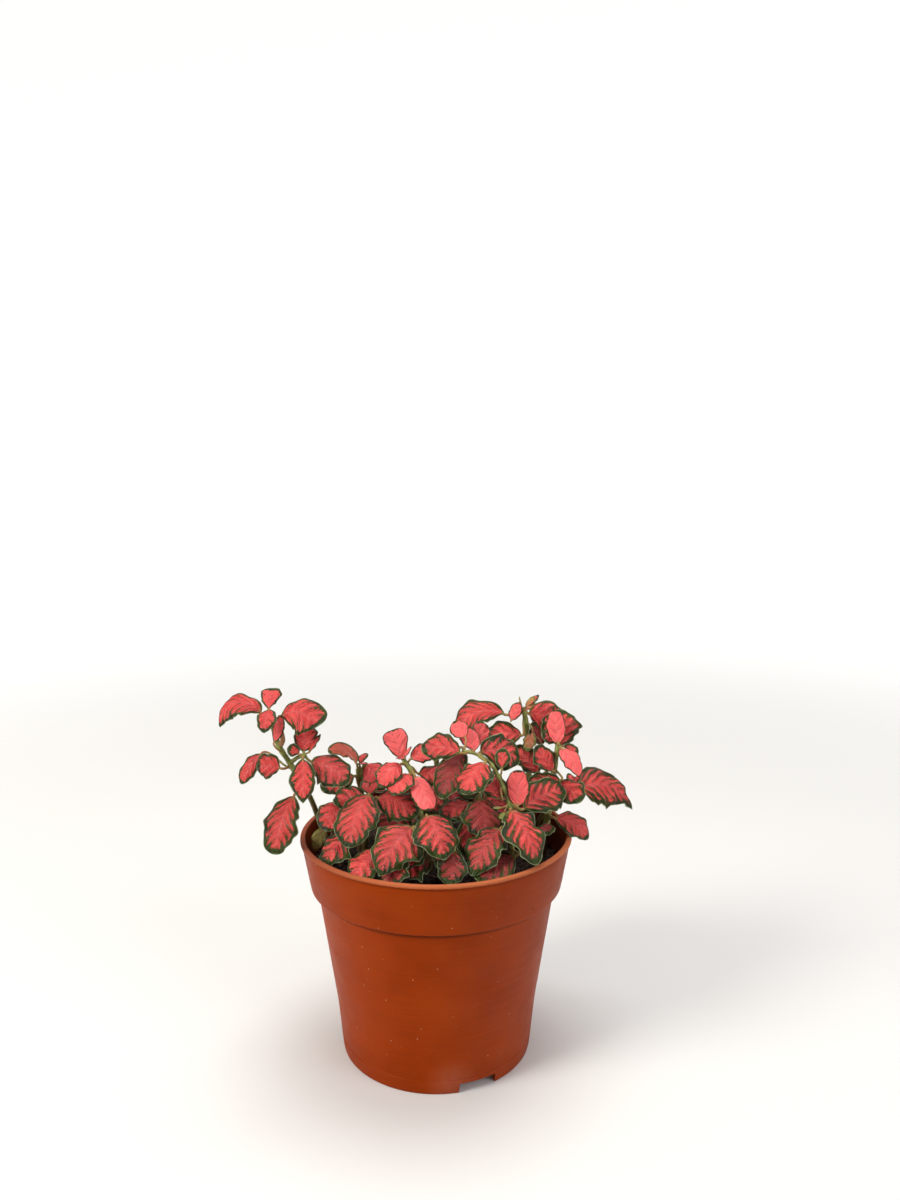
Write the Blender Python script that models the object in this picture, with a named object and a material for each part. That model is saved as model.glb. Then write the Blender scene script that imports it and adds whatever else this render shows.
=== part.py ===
"""Potted nerve plant (Fittonia): nursery pot, potting soil and leafy shoots.

Metres, +Z up. The pot's axis is the Z axis and its foot ring stands on z = 0.
The front of the plant faces -Y.
"""
import math

import bmesh
import bpy
import numpy as np
from mathutils import Matrix

MM = 0.001
GAP = 0.3                     # clearance between neighbouring pieces, mm
SHARP_ANGLE = 35.0            # faces that meet at more than this keep a crisp edge, degrees

# Pot, millimetres and degrees
RIM_RADIUS = 52.5
RIM_HEIGHT = 86.0
LIP_WIDTH = 2.0
LIP_DEPTH = 2.0
LIP_TAPER = 0.3
LIP_ROUNDING = 0.5
COLLAR_FOOT = (48.9, 66.5)    # outer radius and height where the collar ends
NECK = (46.3, 65.7)           # outer radius and height under the collar's ledge
WAIST = (39.1, 19.5)          # outer radius and height where the wall starts to flare
FOOT_RADIUS = 37.1
FOOT_ROUNDING = 0.5
WALL = 1.2
CORNER_RISE = 1.2             # how far the inner corners sit above the outer ones
FLOOR_HEIGHT = 4.0
FLOOR_THICKNESS = 1.2
FOOT_RING_WIDTH = 2.2
POT_SIDES = 48
NOTCH_WIDTH = 15.5
NOTCH_HEIGHT = 3.8
NOTCH_REACH = 12.0            # length of the cutting block across the foot ring
NOTCH_ANGLES = (-65.0, 55.0, 175.0)
DRAIN_HOLE_RADIUS = 1.8
DRAIN_HOLE_SIDES = 8
DRAIN_HOLE_COUNT = 8
DRAIN_CIRCLE_RADIUS = 24.0
DRAIN_TOOL_EXTRA = 2.0        # how much longer than the floor's thickness the drill is

# Potting soil, millimetres
SOIL_EDGE_HEIGHT = 72.5
SOIL_MOUND = 2.0
SOIL_RINGS = 4
# The soil's gentle waves: height, waves along X and along Y (radians per mm), start
SOIL_WAVES = ((0.3, 0.16, 0.09, 1.0), (0.25, 0.07, -0.19, 0.0), (0.2, -0.12, 0.14, 2.0))

# Stems and leaves, millimetres
STEM_SIDES = 6
STEM_STEPS = 2                # sections between two points of a stem's route
STEM_REFERENCE = (0.0, 1.0, 0.05)   # a direction that no stem runs along
BUD_SHOULDER = 0.8            # a stem's rounded end, in tip radii
BUD_LENGTH = 1.5
BUD_RADIUS = 0.35
BRANCH_TAPER = 0.9
HOLE_CLEARANCE = 0.4
HOLE_EXTRA_DEPTH = 0.6
HOLE_RISE = 4.0               # how far a planting hole's tool runs above the soil's edge
TANGENT_STEP = 0.05           # share of a stem looked back along for its direction
PETIOLE_HALF_WIDTH = 0.65
PETIOLE_THICKNESS = 1.1
PETIOLE_FADE = 3.0            # how quickly the stalk's thickness sinks into the blade
YOUNG_SINK = 0.8              # how deep a young leaf's stalk starts inside its stem
BLADE_THICKNESS = 0.6
MARGIN_SHARE = 0.45           # margin's thickness as a share of the midrib's
BASE_EXPONENT = 0.7           # roundness of a blade towards its petiole
TIP_EXPONENT = 0.56           # roundness of a blade towards its tip
PETIOLE_ROWS = 2
BLADE_ROWS = 6
YOUNG_ROWS = 4
MIDRIB_STEPS = 24

# Colours (linear RGB)
POT_COLOUR = (0.36, 0.085, 0.030)
SOIL_COLOUR = (0.020, 0.012, 0.008)
STEM_COLOUR = (0.16, 0.19, 0.05)
YOUNG_LEAF = (0.80, 0.10, 0.11)
OLD_LEAF = (0.28, 0.06, 0.06)
POT_ROUGHNESS = 0.5
SOIL_ROUGHNESS = 0.95
STEM_ROUGHNESS = 0.5
LEAF_ROUGHNESS = 0.45

# One shoot each: the stem's route and its radii at foot and tip, a side branch
# where it has one, then its leaves and the young leaves grown together with it.
# A leaf is: place along the stem (0 to 1, or 2 for the tip of its branch), foot of
# the blade, heading, pitch, droop, roll, length, width, cup and age. Heading turns
# from +X towards +Y, droop is how far the blade bends down from foot to tip, cup
# lifts (+) or lowers (-) the margins, and age runs from 0 to 1.
SHOOTS = {
    "left": {
        "route": [(-42, 4, 68), (-43.5, 4, 78), (-46, 1, 89), (-48.7, -5, 101),
                  (-55, -10, 115.5), (-59, -11, 123), (-62, -12, 135)],
        "radii": (1.6, 1.1),
        "branch": [(-55, -10, 115.5), (-51.5, -14, 118.8), (-48.5, -16.5, 120.5)],
        "leaves": [
            (1.0, (-65, -12, 135.5), 180, 45, 125, -40, 20, 11, -0.2, 0.3),
            (0.83, (-57.5, -12.5, 134.5), -10, 30, 60, 42, 17, 14, -0.2, 0.3),
            (0.66, (-58, -14.5, 115), 168, 15, 30, -70, 9.5, 9.5, 0.1, 0.3),
            (0.64, (-67, -6, 118), 205, -40, 30, -40, 13.5, 7, -0.2, 0.3),
            (0.42, (-53.4, -13, 103.7), 243, -30, 55, -10, 23, 13.5, -0.1, 0.6),
            (2.0, (-48.4, -19.9, 120.4), 278, -38, 35, 0, 17, 9.5, -0.15, 0.4),
            (2.0, (-46, -16, 118), -15, 0, 55, 35, 17, 14, -0.2, 0.4),
        ],
        "young": [
            (1.0, (-62.5, -11, 136.5), 85, 50, 10, 0, 9.5, 8, 0.1, 0.15),
            (1.0, (-61.6, -13, 137), 266, -5, 70, 0, 11.5, 7.5, -0.1, 0.35),
            (2.0, (-49, -15, 121.5), 85, 60, 10, 0, 11, 9, 0.1, 0.4),
            (2.0, (-50.5, -16.5, 121), 170, 40, 40, -60, 5, 5, 0.0, 0.5),
            (2.0, (-47, -16, 121.5), 35, 50, 0, -50, 8, 4, 0.2, 0.4),
        ],
    },
    "centre_left": {
        "route": [(-31, 7, 68), (-30, 6, 84), (-29.4, 4, 96), (-30.5, 3, 109)],
        "radii": (1.8, 1.3),
        "leaves": [
            (1.0, (-31.7, 0.8, 111.6), 172, 78, 125, 55, 14.5, 9, 0.1, 0.35),
            (0.95, (-27.8, 0.5, 110.5), -42, -20, 45, 30, 12.5, 10, -0.1, 0.35),
            (0.5, (-27, 9, 98), 80, -5, 30, 0, 20, 15, -0.15, 0.75),
        ],
        "young": [
            (1.0, (-30, 2, 111.5), 300, 40, 60, 0, 6, 4, 0.0, 0.3),
            (1.0, (-30, 3, 111.5), 60, 60, 60, 0, 6, 4, 0.0, 0.3),
        ],
    },
    "front_left": {
        "route": [(-28, -4, 68), (-27, -8, 86), (-25, -12, 102)],
        "radii": (1.8, 1.4),
        "leaves": [
            (0.9, (-25.5, -15.5, 102.5), 255, -5, 55, -5, 22.5, 15, -0.15, 0.75),
            (0.95, (-22, -13.5, 103.5), -25, 5, 45, 30, 18, 14, -0.2, 0.7),
            (0.85, (-34, -13, 101), 232, -15, 45, -20, 12.5, 12.5, -0.15, 0.55),
            (0.5, (-30.5, -23.5, 93), 215, -15, 30, -5, 13.5, 13, -0.2, 0.75),
        ],
        "young": [
            (1.0, (-25, -12, 104), 120, 50, 30, 0, 7, 5, 0.0, 0.4),
            (1.0, (-25, -12, 104), 60, 50, 30, 0, 7, 5, 0.0, 0.4),
        ],
    },
    "centre": {
        "route": [(-2, -12, 68), (-3, -13, 84), (-6, -12, 97), (-8.7, -8, 110), (-12, -6, 115)],
        "radii": (1.8, 1.1),
        "leaves": [
            (1.0, (-12.6, -3, 115.5), 140, 62, 0, -25, 12, 9.5, 0.1, 0.05),
            (0.95, (-9.5, -6, 116), 15, 30, 40, 50, 9.5, 7, 0.0, 0.2),
            (0.95, (-14, -8.5, 114), 225, 20, 60, -20, 14, 9, -0.2, 0.3),
            (0.75, (-10, -10.5, 110), 240, 5, 60, 0, 13, 11, -0.1, 0.4),
            (0.8, (-7.5, -11, 109.5), -68, -12, 30, 0, 16.5, 9.5, -0.2, 0.05),
        ],
        "young": [
            (1.0, (-12.5, -7.5, 116.5), 255, 30, 30, 0, 5, 4, 0.0, 0.1),
            (1.0, (-12, -6, 116.5), 20, 70, 30, 0, 5, 3, 0.0, 0.1),
        ],
    },
    "front_centre": {
        "route": [(4, -20, 68), (0, -22, 84), (-4, -23, 96)],
        "radii": (1.7, 1.4),
        "leaves": [
            (0.95, (-8, -27, 97), 232, 0, 60, -20, 22, 19, -0.15, 0.7),
            (1.0, (-3, -25.5, 101), -66, -10, 50, 0, 20, 17, -0.2, 0.7),
            (0.8, (1, -26.5, 92), -62, -15, 50, 10, 14, 11, -0.1, 0.8),
        ],
        "young": [],
    },
    "right_centre": {
        "route": [(29, -15, 68), (28.5, -18, 86), (27.5, -20, 101.6), (22.1, -16, 114.7),
                  (16.6, -14, 119.5), (10.6, -14, 121.4)],
        "radii": (1.7, 1.0),
        "leaves": [
            (0.96, (8.8, -16.2, 121.5), 174, 30, 60, -50, 16.5, 11, -0.1, 0.55),
            (0.95, (14.5, -12, 121), 110, 50, 10, 0, 10, 8, 0.0, 0.1),
            (0.8, (18.5, -17, 118), 230, -5, 60, 0, 14, 13, -0.2, 0.6),
            (0.8, (17, -9, 119.5), 15, 20, 80, 50, 18, 15, -0.1, 0.7),
            (0.42, (30.3, -21.5, 103), 85, 76, -10, 0, 13, 8.5, 0.0, 0.1),
            (0.39, (27.6, -23.5, 102.2), -62, -15, 50, 0, 23.5, 15, -0.1, 0.75),
            (0.4, (33, -17.5, 100.5), 30, 35, 45, 45, 20, 14, 0.0, 0.8),
            (0.3, (23.5, -27, 96.5), 228, -15, 50, -10, 21, 14.5, -0.1, 0.75),
            (0.2, (28.5, -32, 88.3), 205, -8, 25, -20, 17, 14.5, -0.1, 0.75),
        ],
        "young": [
            (0.64, (20, -18.5, 115.5), 250, -10, 40, 0, 8, 5.5, 0.0, 0.6),
            (0.56, (24.5, -16.5, 115.5), 80, 65, 15, 0, 8, 6, 0.0, 0.6),
            (1.0, (11, -11.5, 126), 140, 45, 0, -30, 7.5, 7.5, 0.0, 0.1),
        ],
    },
    "right_back": {
        "route": [(37, 12, 68), (37.5, 11, 94), (36.3, 12, 120), (35, 12, 131)],
        "radii": (1.8, 1.1),
        "leaves": [
            (0.96, (26, 12, 129.5), 180, 30, 110, -45, 23, 12, 0.0, 0.4),
            (0.85, (34, 9.5, 121), 190, 20, 40, -50, 15, 11, 0.0, 0.5),
            (0.98, (37.2, 17, 130.5), 6, 14, 75, 45, 18, 13.5, -0.1, 0.55),
            (0.45, (39, 16, 97), 70, -5, 30, 0, 18, 14, -0.15, 0.75),
            (0.4, (32, 14, 95), 140, -5, 30, 0, 18, 14, -0.15, 0.75),
        ],
        "young": [
            (1.0, (33.5, 11, 132), 215, 50, 0, -30, 7, 5, 0.0, 0.1),
            (1.0, (35, 12, 132), 100, 60, 20, 0, 6, 4, 0.0, 0.3),
            (1.0, (36, 12, 132), 20, 50, 20, 0, 7, 5, 0.0, 0.3),
        ],
    },
    "right": {
        "route": [(42, 6, 68), (44, 3, 90), (46, 2, 108), (47.8, 4, 118.6)],
        "radii": (1.7, 1.2),
        "leaves": [
            (0.95, (48.6, 6.6, 117.5), 78, 76, 25, 0, 15, 16, -0.1, 0.75),
            (1.0, (47.5, 1.5, 120), 100, 72, 0, 0, 13, 8, 0.0, 0.05),
            (0.95, (49, -0.5, 118.5), -58, -15, 50, 0, 14, 9, 0.0, 0.1),
            (0.75, (44.3, -2.5, 109.6), 160, 52, 20, -35, 12, 9.5, 0.0, 0.6),
            (0.65, (47.6, -2.2, 105.5), -45, -5, 50, 25, 12, 12, 0.0, 0.75),
            (0.35, (46.3, -1.5, 91), -20, 8, 72, 22, 16, 12, 0.0, 0.5),
        ],
        "young": [
            (1.0, (50, 4, 118), 0, 0, 60, 50, 7, 4.5, 0.0, 0.6),
            (1.0, (47, 4, 119.5), 180, 50, 40, -40, 7, 6, 0.0, 0.6),
        ],
    },
    "right_low": {
        "route": [(39, 20, 68), (41, 18, 80), (47, 14.5, 91), (55, 12, 98.5)],
        "radii": (1.6, 1.2),
        "leaves": [
            (1.0, (58, 12, 99), 8, 20, 85, 42, 27, 17, -0.2, 0.8),
        ],
        "young": [
            (1.0, (55, 12, 100), 20, 60, 20, 0, 5, 4, 0.0, 0.3),
            (1.0, (55, 12, 100), 120, 60, 20, 0, 5, 4, 0.0, 0.3),
        ],
    },
    "middle": {
        "route": [(12, -4, 68), (14, -7, 88), (16, -11, 102.5)],
        "radii": (1.7, 1.3),
        "leaves": [
            (0.95, (16.4, -15, 103.5), -80, -25, 40, 0, 16, 15.5, -0.2, 0.65),
        ],
        "young": [],
    },
    "back": {
        "route": [(4, 16, 68), (3, 14, 90), (0, 10, 110), (2, 7, 121)],
        "radii": (1.8, 1.0),
        "leaves": [
            (0.9, (10, -8, 119.5), 238, -25, 40, 0, 21, 14, -0.1, 0.75),
            (0.45, (8, 19, 96), 60, -5, 30, 0, 19, 15, -0.15, 0.75),
            (0.4, (-2, 18, 94), 130, -5, 30, 0, 19, 15, -0.15, 0.75),
        ],
        "young": [],
    },
}


# ---------------------------------------------------------------- mesh helpers

def clear_scene():
    for obj in list(bpy.data.objects):
        bpy.data.objects.remove(obj, do_unlink=True)


def new_object(name, bm, smooth=True):
    """A linked object from a bmesh, still in millimetres."""
    if bm.calc_volume(signed=True) < 0:
        bmesh.ops.reverse_faces(bm, faces=bm.faces)
    mesh = bpy.data.meshes.new(name)
    bm.to_mesh(mesh)
    bm.free()
    if smooth:
        mesh.shade_smooth()
        mesh.set_sharp_from_angle(angle=math.radians(SHARP_ANGLE))
    obj = bpy.data.objects.new(name, mesh)
    bpy.context.collection.objects.link(obj)
    return obj


def finish(obj, colour, roughness):
    """Brings a piece drawn in millimetres to metres and gives it its surface."""
    obj.data.transform(Matrix.Scale(MM, 4))
    material = bpy.data.materials.new(obj.name + "_surface")
    material.use_nodes = True
    shader = material.node_tree.nodes["Principled BSDF"]
    shader.inputs["Base Color"].default_value = (*colour, 1.0)
    shader.inputs["Roughness"].default_value = roughness
    shader.inputs["Metallic"].default_value = 0.0
    obj.data.materials.clear()
    obj.data.materials.append(material)


def combine(obj, tool, operation):
    """Applies a Boolean of obj with tool, then removes the tool."""
    modifier = obj.modifiers.new("cut", "BOOLEAN")
    modifier.operation = operation
    modifier.solver = "EXACT"
    modifier.object = tool
    bpy.context.view_layer.update()
    evaluated = obj.evaluated_get(bpy.context.evaluated_depsgraph_get())
    mesh = bpy.data.meshes.new_from_object(evaluated)
    obj.modifiers.clear()
    obj.data = mesh
    bpy.data.objects.remove(tool, do_unlink=True)


def turned(bm, profile, sides):
    """Spins a closed profile of (radius, height) pairs round the Z axis."""
    verts = [bm.verts.new((radius, 0.0, height)) for radius, height in profile]
    edges = [bm.edges.new((verts[i - 1], verts[i])) for i in range(len(verts))]
    bmesh.ops.spin(bm, geom=verts + edges, cent=(0, 0, 0), axis=(0, 0, 1),
                   angle=2 * math.pi, steps=sides, use_merge=True)
    bmesh.ops.remove_doubles(bm, verts=bm.verts, dist=0.001)


def skin_rings(bm, rings):
    """Bridges rings of equal length into a closed body with capped ends."""
    rows = [[bm.verts.new(tuple(point)) for point in ring] for ring in rings]
    count = len(rows[0])
    for lower, upper in zip(rows, rows[1:]):
        for i in range(count):
            j = (i + 1) % count
            bm.faces.new((lower[i], lower[j], upper[j], upper[i]))
    bm.faces.new(list(reversed(rows[0])))
    bm.faces.new(rows[-1])


# ------------------------------------------------------------------ directions

def direction(heading, pitch):
    h, p = math.radians(heading), math.radians(pitch)
    return np.array([math.cos(h) * math.cos(p), math.sin(h) * math.cos(p), math.sin(p)])


def blade_axes(heading, pitch, roll):
    """Unit vectors along a blade, across it and out of its upper face."""
    h, r = math.radians(heading), math.radians(roll)
    along = direction(heading, pitch)
    level = np.array([-math.sin(h), math.cos(h), 0.0])
    up = np.cross(along, level)
    across = level * math.cos(r) + up * math.sin(r)
    out = up * math.cos(r) - level * math.sin(r)
    return along, across, out


def smooth_route(points, steps):
    """Catmull-Rom curve through the points."""
    route = np.array(points, float)
    ends = [2 * route[0] - route[1]], [2 * route[-1] - route[-2]]
    route = np.vstack([ends[0], route, ends[1]])
    curve = []
    for i in range(1, len(route) - 2):
        before, start, end, after = route[i - 1:i + 3]
        for k in range(steps):
            t = k / steps
            curve.append(0.5 * (2 * start + (end - before) * t
                                + (2 * before - 5 * start + 4 * end - after) * t * t
                                + (3 * start - before - 3 * end + after) * t ** 3))
    curve.append(route[-2])
    return np.array(curve)


def point_along(curve, share):
    """Point at a share of the way along a curve, counted in sections."""
    place = share * (len(curve) - 1)
    i = min(int(place), len(curve) - 2)
    return curve[i] + (curve[i + 1] - curve[i]) * (place - i)


# ----------------------------------------------------------------- pot and soil

def pot_outside():
    return [(FOOT_RADIUS - FOOT_ROUNDING, 0.0), (FOOT_RADIUS, FOOT_ROUNDING),
            WAIST, NECK, COLLAR_FOOT, (RIM_RADIUS - LIP_TAPER, RIM_HEIGHT - LIP_DEPTH),
            (RIM_RADIUS, RIM_HEIGHT - LIP_ROUNDING), (RIM_RADIUS - LIP_ROUNDING, RIM_HEIGHT)]


def pot_inside():
    """Inner wall from the lip down to the floor."""
    floor_top = FLOOR_HEIGHT + FLOOR_THICKNESS
    slope = (WAIST[0] - FOOT_RADIUS) / WAIST[1]
    return [(RIM_RADIUS - LIP_WIDTH, RIM_HEIGHT),
            (RIM_RADIUS - LIP_WIDTH, RIM_HEIGHT - LIP_DEPTH),
            (COLLAR_FOOT[0] - WALL, COLLAR_FOOT[1] + CORNER_RISE),
            (NECK[0] - WALL, NECK[1] + CORNER_RISE),
            (WAIST[0] - WALL, WAIST[1]),
            (FOOT_RADIUS + slope * floor_top - WALL, floor_top)]


def build_pot():
    ring_radius = FOOT_RADIUS - FOOT_RING_WIDTH
    under = [(0.0, FLOOR_HEIGHT + FLOOR_THICKNESS), (0.0, FLOOR_HEIGHT),
             (ring_radius, FLOOR_HEIGHT), (ring_radius, 0.0)]
    bm = bmesh.new()
    turned(bm, pot_outside() + pot_inside() + under, POT_SIDES)
    pot = new_object("pot", bm)
    combine(pot, notch_tool(), "DIFFERENCE")
    combine(pot, drain_tool(), "DIFFERENCE")
    finish(pot, POT_COLOUR, POT_ROUGHNESS)
    return pot


def notch_tool():
    """Blocks that cut the foot ring's notches."""
    bm = bmesh.new()
    for angle in NOTCH_ANGLES:
        block = bmesh.ops.create_cube(bm, size=1.0)["verts"]
        bmesh.ops.scale(bm, vec=(NOTCH_REACH, NOTCH_WIDTH, 2 * NOTCH_HEIGHT), verts=block)
        bmesh.ops.translate(bm, vec=(FOOT_RADIUS, 0.0, 0.0), verts=block)
        turn = Matrix.Rotation(math.radians(angle), 3, "Z")
        bmesh.ops.rotate(bm, cent=(0, 0, 0), matrix=turn, verts=block)
    return new_object("notch_tool", bm, smooth=False)


def drain_tool():
    bm = bmesh.new()
    depth = FLOOR_THICKNESS + DRAIN_TOOL_EXTRA
    for i in range(DRAIN_HOLE_COUNT):
        angle = 2 * math.pi * (i + 0.5) / DRAIN_HOLE_COUNT
        rod = bmesh.ops.create_cone(bm, cap_ends=True, segments=DRAIN_HOLE_SIDES, depth=depth,
                                    radius1=DRAIN_HOLE_RADIUS, radius2=DRAIN_HOLE_RADIUS)
        place = (DRAIN_CIRCLE_RADIUS * math.cos(angle), DRAIN_CIRCLE_RADIUS * math.sin(angle),
                 FLOOR_HEIGHT + FLOOR_THICKNESS / 2)
        bmesh.ops.translate(bm, vec=place, verts=rod["verts"])
    return new_object("drain_tool", bm, smooth=False)


def soil_height(x, y):
    mound = SOIL_MOUND * (1 - (x * x + y * y) / RIM_RADIUS ** 2)
    waves = sum(height * math.sin(x * along_x + y * along_y + start)
                for height, along_x, along_y, start in SOIL_WAVES)
    return SOIL_EDGE_HEIGHT + mound + waves


def build_soil():
    floor_top = FLOOR_HEIGHT + FLOOR_THICKNESS
    _, lip, collar, neck, waist, foot = pot_inside()
    share = (SOIL_EDGE_HEIGHT - collar[1]) / (lip[1] - collar[1])
    edge_radius = collar[0] + share * (lip[0] - collar[0])
    side = [(foot[0] - GAP, floor_top + GAP), (waist[0] - GAP, waist[1]),
            (neck[0] - GAP, neck[1] + GAP),
            (collar[0] - GAP, collar[1] + GAP), (edge_radius - GAP, SOIL_EDGE_HEIGHT)]
    bm = bmesh.new()
    angles = [2 * math.pi * i / POT_SIDES for i in range(POT_SIDES)]
    rings = [[(r * math.cos(a), r * math.sin(a), z) for a in angles] for r, z in side[:-1]]
    for k in range(SOIL_RINGS):
        radius = side[-1][0] * (1 - k / SOIL_RINGS)
        ring = [(radius * math.cos(a), radius * math.sin(a)) for a in angles]
        rings.append([(x, y, soil_height(x, y)) for x, y in ring])
    skin_rings(bm, rings)
    soil = new_object("soil", bm)
    for shoot in SHOOTS.values():
        combine(soil, planting_hole_tool(shoot), "DIFFERENCE")
    finish(soil, SOIL_COLOUR, SOIL_ROUGHNESS)
    return soil


def planting_hole_tool(shoot):
    """A slightly wider copy of the buried end of a stem."""
    curve = smooth_route(shoot["route"], STEM_STEPS)
    first = curve[0] - HOLE_EXTRA_DEPTH * unit(curve[1] - curve[0])
    radius = shoot["radii"][0] + HOLE_CLEARANCE
    route = [first] + [p for p in curve[1:] if p[2] < SOIL_EDGE_HEIGHT + HOLE_RISE]
    route.append(curve[len(route)])
    bm = bmesh.new()
    skin_rings(bm, tube_rings(np.array(route), radius, radius))
    return new_object("planting_hole_tool", bm, smooth=False)


# ------------------------------------------------------------- stems and leaves

def unit(vector):
    return vector / np.linalg.norm(vector)


def tube_rings(curve, start_radius, end_radius):
    rings = []
    for i, centre in enumerate(curve):
        along = unit(curve[min(i + 1, len(curve) - 1)] - curve[max(i - 1, 0)])
        side = unit(np.cross(along, STEM_REFERENCE))
        other = np.cross(along, side)
        radius = start_radius + (end_radius - start_radius) * i / (len(curve) - 1)
        angles = [2 * math.pi * k / STEM_SIDES for k in range(STEM_SIDES)]
        rings.append([centre + radius * (side * math.cos(a) + other * math.sin(a)) for a in angles])
    return rings


def tip_bud(curve, radius):
    """Rings of the short rounded end that closes a stem."""
    along = unit(curve[-1] - curve[-2]) * radius
    route = [curve[-1], curve[-1] + along * BUD_SHOULDER, curve[-1] + along * BUD_LENGTH]
    return tube_rings(np.array(route), radius, radius * BUD_RADIUS)[1:]


def half_width_share(u):
    """Half width of a blade at u, 0 at its foot and 1 at its tip, as a share of the widest."""
    widest = BASE_EXPONENT / (BASE_EXPONENT + TIP_EXPONENT)
    peak = widest ** BASE_EXPONENT * (1 - widest) ** TIP_EXPONENT
    return u ** BASE_EXPONENT * (1 - u) ** TIP_EXPONENT / peak


def midrib(leaf, rows):
    """Point, across and out vectors at each row of a blade."""
    _, foot, heading, pitch, droop, roll, length = leaf[:7]
    points = [np.array(foot, float)]
    for i in range(MIDRIB_STEPS):
        bend = pitch - droop * (i + 0.5) / MIDRIB_STEPS
        points.append(points[-1] + direction(heading, bend) * length / MIDRIB_STEPS)
    stations = []
    for row in range(rows + 1):
        u = row / rows
        _, across, out = blade_axes(heading, pitch - droop * u, roll)
        stations.append((u, point_along(points, u), across, out))
    return stations


def petiole_stations(leaf, start, leave, rows):
    """Point, across and out vectors along the stalk, which leaves its stem squarely."""
    foot = np.array(leaf[1], float)
    along, across, _ = blade_axes(leaf[2], leaf[3], leaf[5])
    reach = np.linalg.norm(foot - start)
    points = []
    for row in range(rows + 1):
        t = row / rows
        points.append((2 * t ** 3 - 3 * t * t + 1) * start + (t ** 3 - 2 * t * t + t) * leave * reach
                      + (3 * t * t - 2 * t ** 3) * foot + (t ** 3 - t * t) * along * reach)
    stations = []
    for row in range(rows):
        forward = unit(points[row + 1] - points[row - 1]) if row else leave
        level = unit(across - forward * np.dot(across, forward))
        stations.append((points[row], level, np.cross(forward, level)))
    return stations


def section(point, across, out, half_width, thickness, cup):
    """Ring round a leaf's cross-section: margin, midrib and margin, above then below."""
    edge = MARGIN_SHARE * thickness / 2
    lift = out * cup * half_width
    left = point - across * half_width + lift
    right = point + across * half_width + lift
    return [left + out * edge, point + out * thickness / 2, right + out * edge,
            right - out * edge, point - out * thickness / 2, left - out * edge]


def leaf_rings(shoot, leaf, clearance, rows):
    width, cup = leaf[7], leaf[8]
    start, leave = leaf_start(shoot, leaf, clearance)
    rings = []
    for point, across, out in petiole_stations(leaf, start, leave, PETIOLE_ROWS):
        rings.append(section(point, across, out, PETIOLE_HALF_WIDTH, PETIOLE_THICKNESS, 0.0))
    for u, point, across, out in midrib(leaf, rows):
        half_width = max(width / 2 * half_width_share(u), PETIOLE_HALF_WIDTH)
        thickness = max(BLADE_THICKNESS, PETIOLE_THICKNESS * (1 - PETIOLE_FADE * u))
        rings.append(section(point, across, out, half_width, thickness, cup * math.sqrt(u)))
    return rings


def stem_curve(shoot, place):
    """The curve that a leaf grows from: the stem, or its branch where place is past 1."""
    return smooth_route(shoot["branch" if place > 1 else "route"], STEM_STEPS)


def leaf_start(shoot, leaf, clearance):
    """Point on the stem's surface that faces the leaf, and the way out of the stem there."""
    place = leaf[0]
    curve = stem_curve(shoot, place)
    share = min(place, 1.0)
    centre = point_along(curve, share)
    along = unit(centre - point_along(curve, share - TANGENT_STEP))
    away = np.array(leaf[1], float) - centre
    away = unit(away - along * np.dot(away, along))
    radii = shoot["radii"]
    radius = radii[1] if place > 1 else radii[0] + (radii[1] - radii[0]) * place
    return centre + away * (radius + clearance), away


def mix(young, old, age):
    return tuple(a + (b - a) * age for a, b in zip(young, old))


def build_leaf(name, shoot, leaf):
    bm = bmesh.new()
    skin_rings(bm, leaf_rings(shoot, leaf, GAP, BLADE_ROWS))
    obj = new_object(name, bm)
    finish(obj, mix(YOUNG_LEAF, OLD_LEAF, leaf[9]), LEAF_ROUGHNESS)
    return obj


def build_stem(name, shoot):
    """A stem with its branch and the young leaves grown together with its tip."""
    first, last = shoot["radii"]
    curve = smooth_route(shoot["route"], STEM_STEPS)
    bm = bmesh.new()
    skin_rings(bm, tube_rings(curve, first, last) + tip_bud(curve, last))
    stem = new_object(name, bm)
    if "branch" in shoot:
        combine(stem, branch_tool(shoot), "UNION")
    for leaf in shoot["young"]:
        bm = bmesh.new()
        skin_rings(bm, leaf_rings(shoot, leaf, -YOUNG_SINK, YOUNG_ROWS))
        combine(stem, new_object("young_leaf_tool", bm), "UNION")
    finish(stem, STEM_COLOUR, STEM_ROUGHNESS)
    return stem


def branch_tool(shoot):
    radius = shoot["radii"][1]
    curve = smooth_route(shoot["branch"], STEM_STEPS)
    bm = bmesh.new()
    skin_rings(bm, tube_rings(curve, radius, radius * BRANCH_TAPER) + tip_bud(curve, radius))
    return new_object("branch_tool", bm)


def build_shoot(name, shoot):
    build_stem("stem_" + name, shoot)
    for number, leaf in enumerate(shoot["leaves"], start=1):
        build_leaf(f"leaf_{name}_{number}", shoot, leaf)


def main():
    clear_scene()
    build_pot()
    build_soil()
    for name, shoot in SHOOTS.items():
        build_shoot(name, shoot)


main()
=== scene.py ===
import math
from functools import partial

import bmesh
import bpy
import numpy as np
from mathutils import Matrix, Vector, noise


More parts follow.
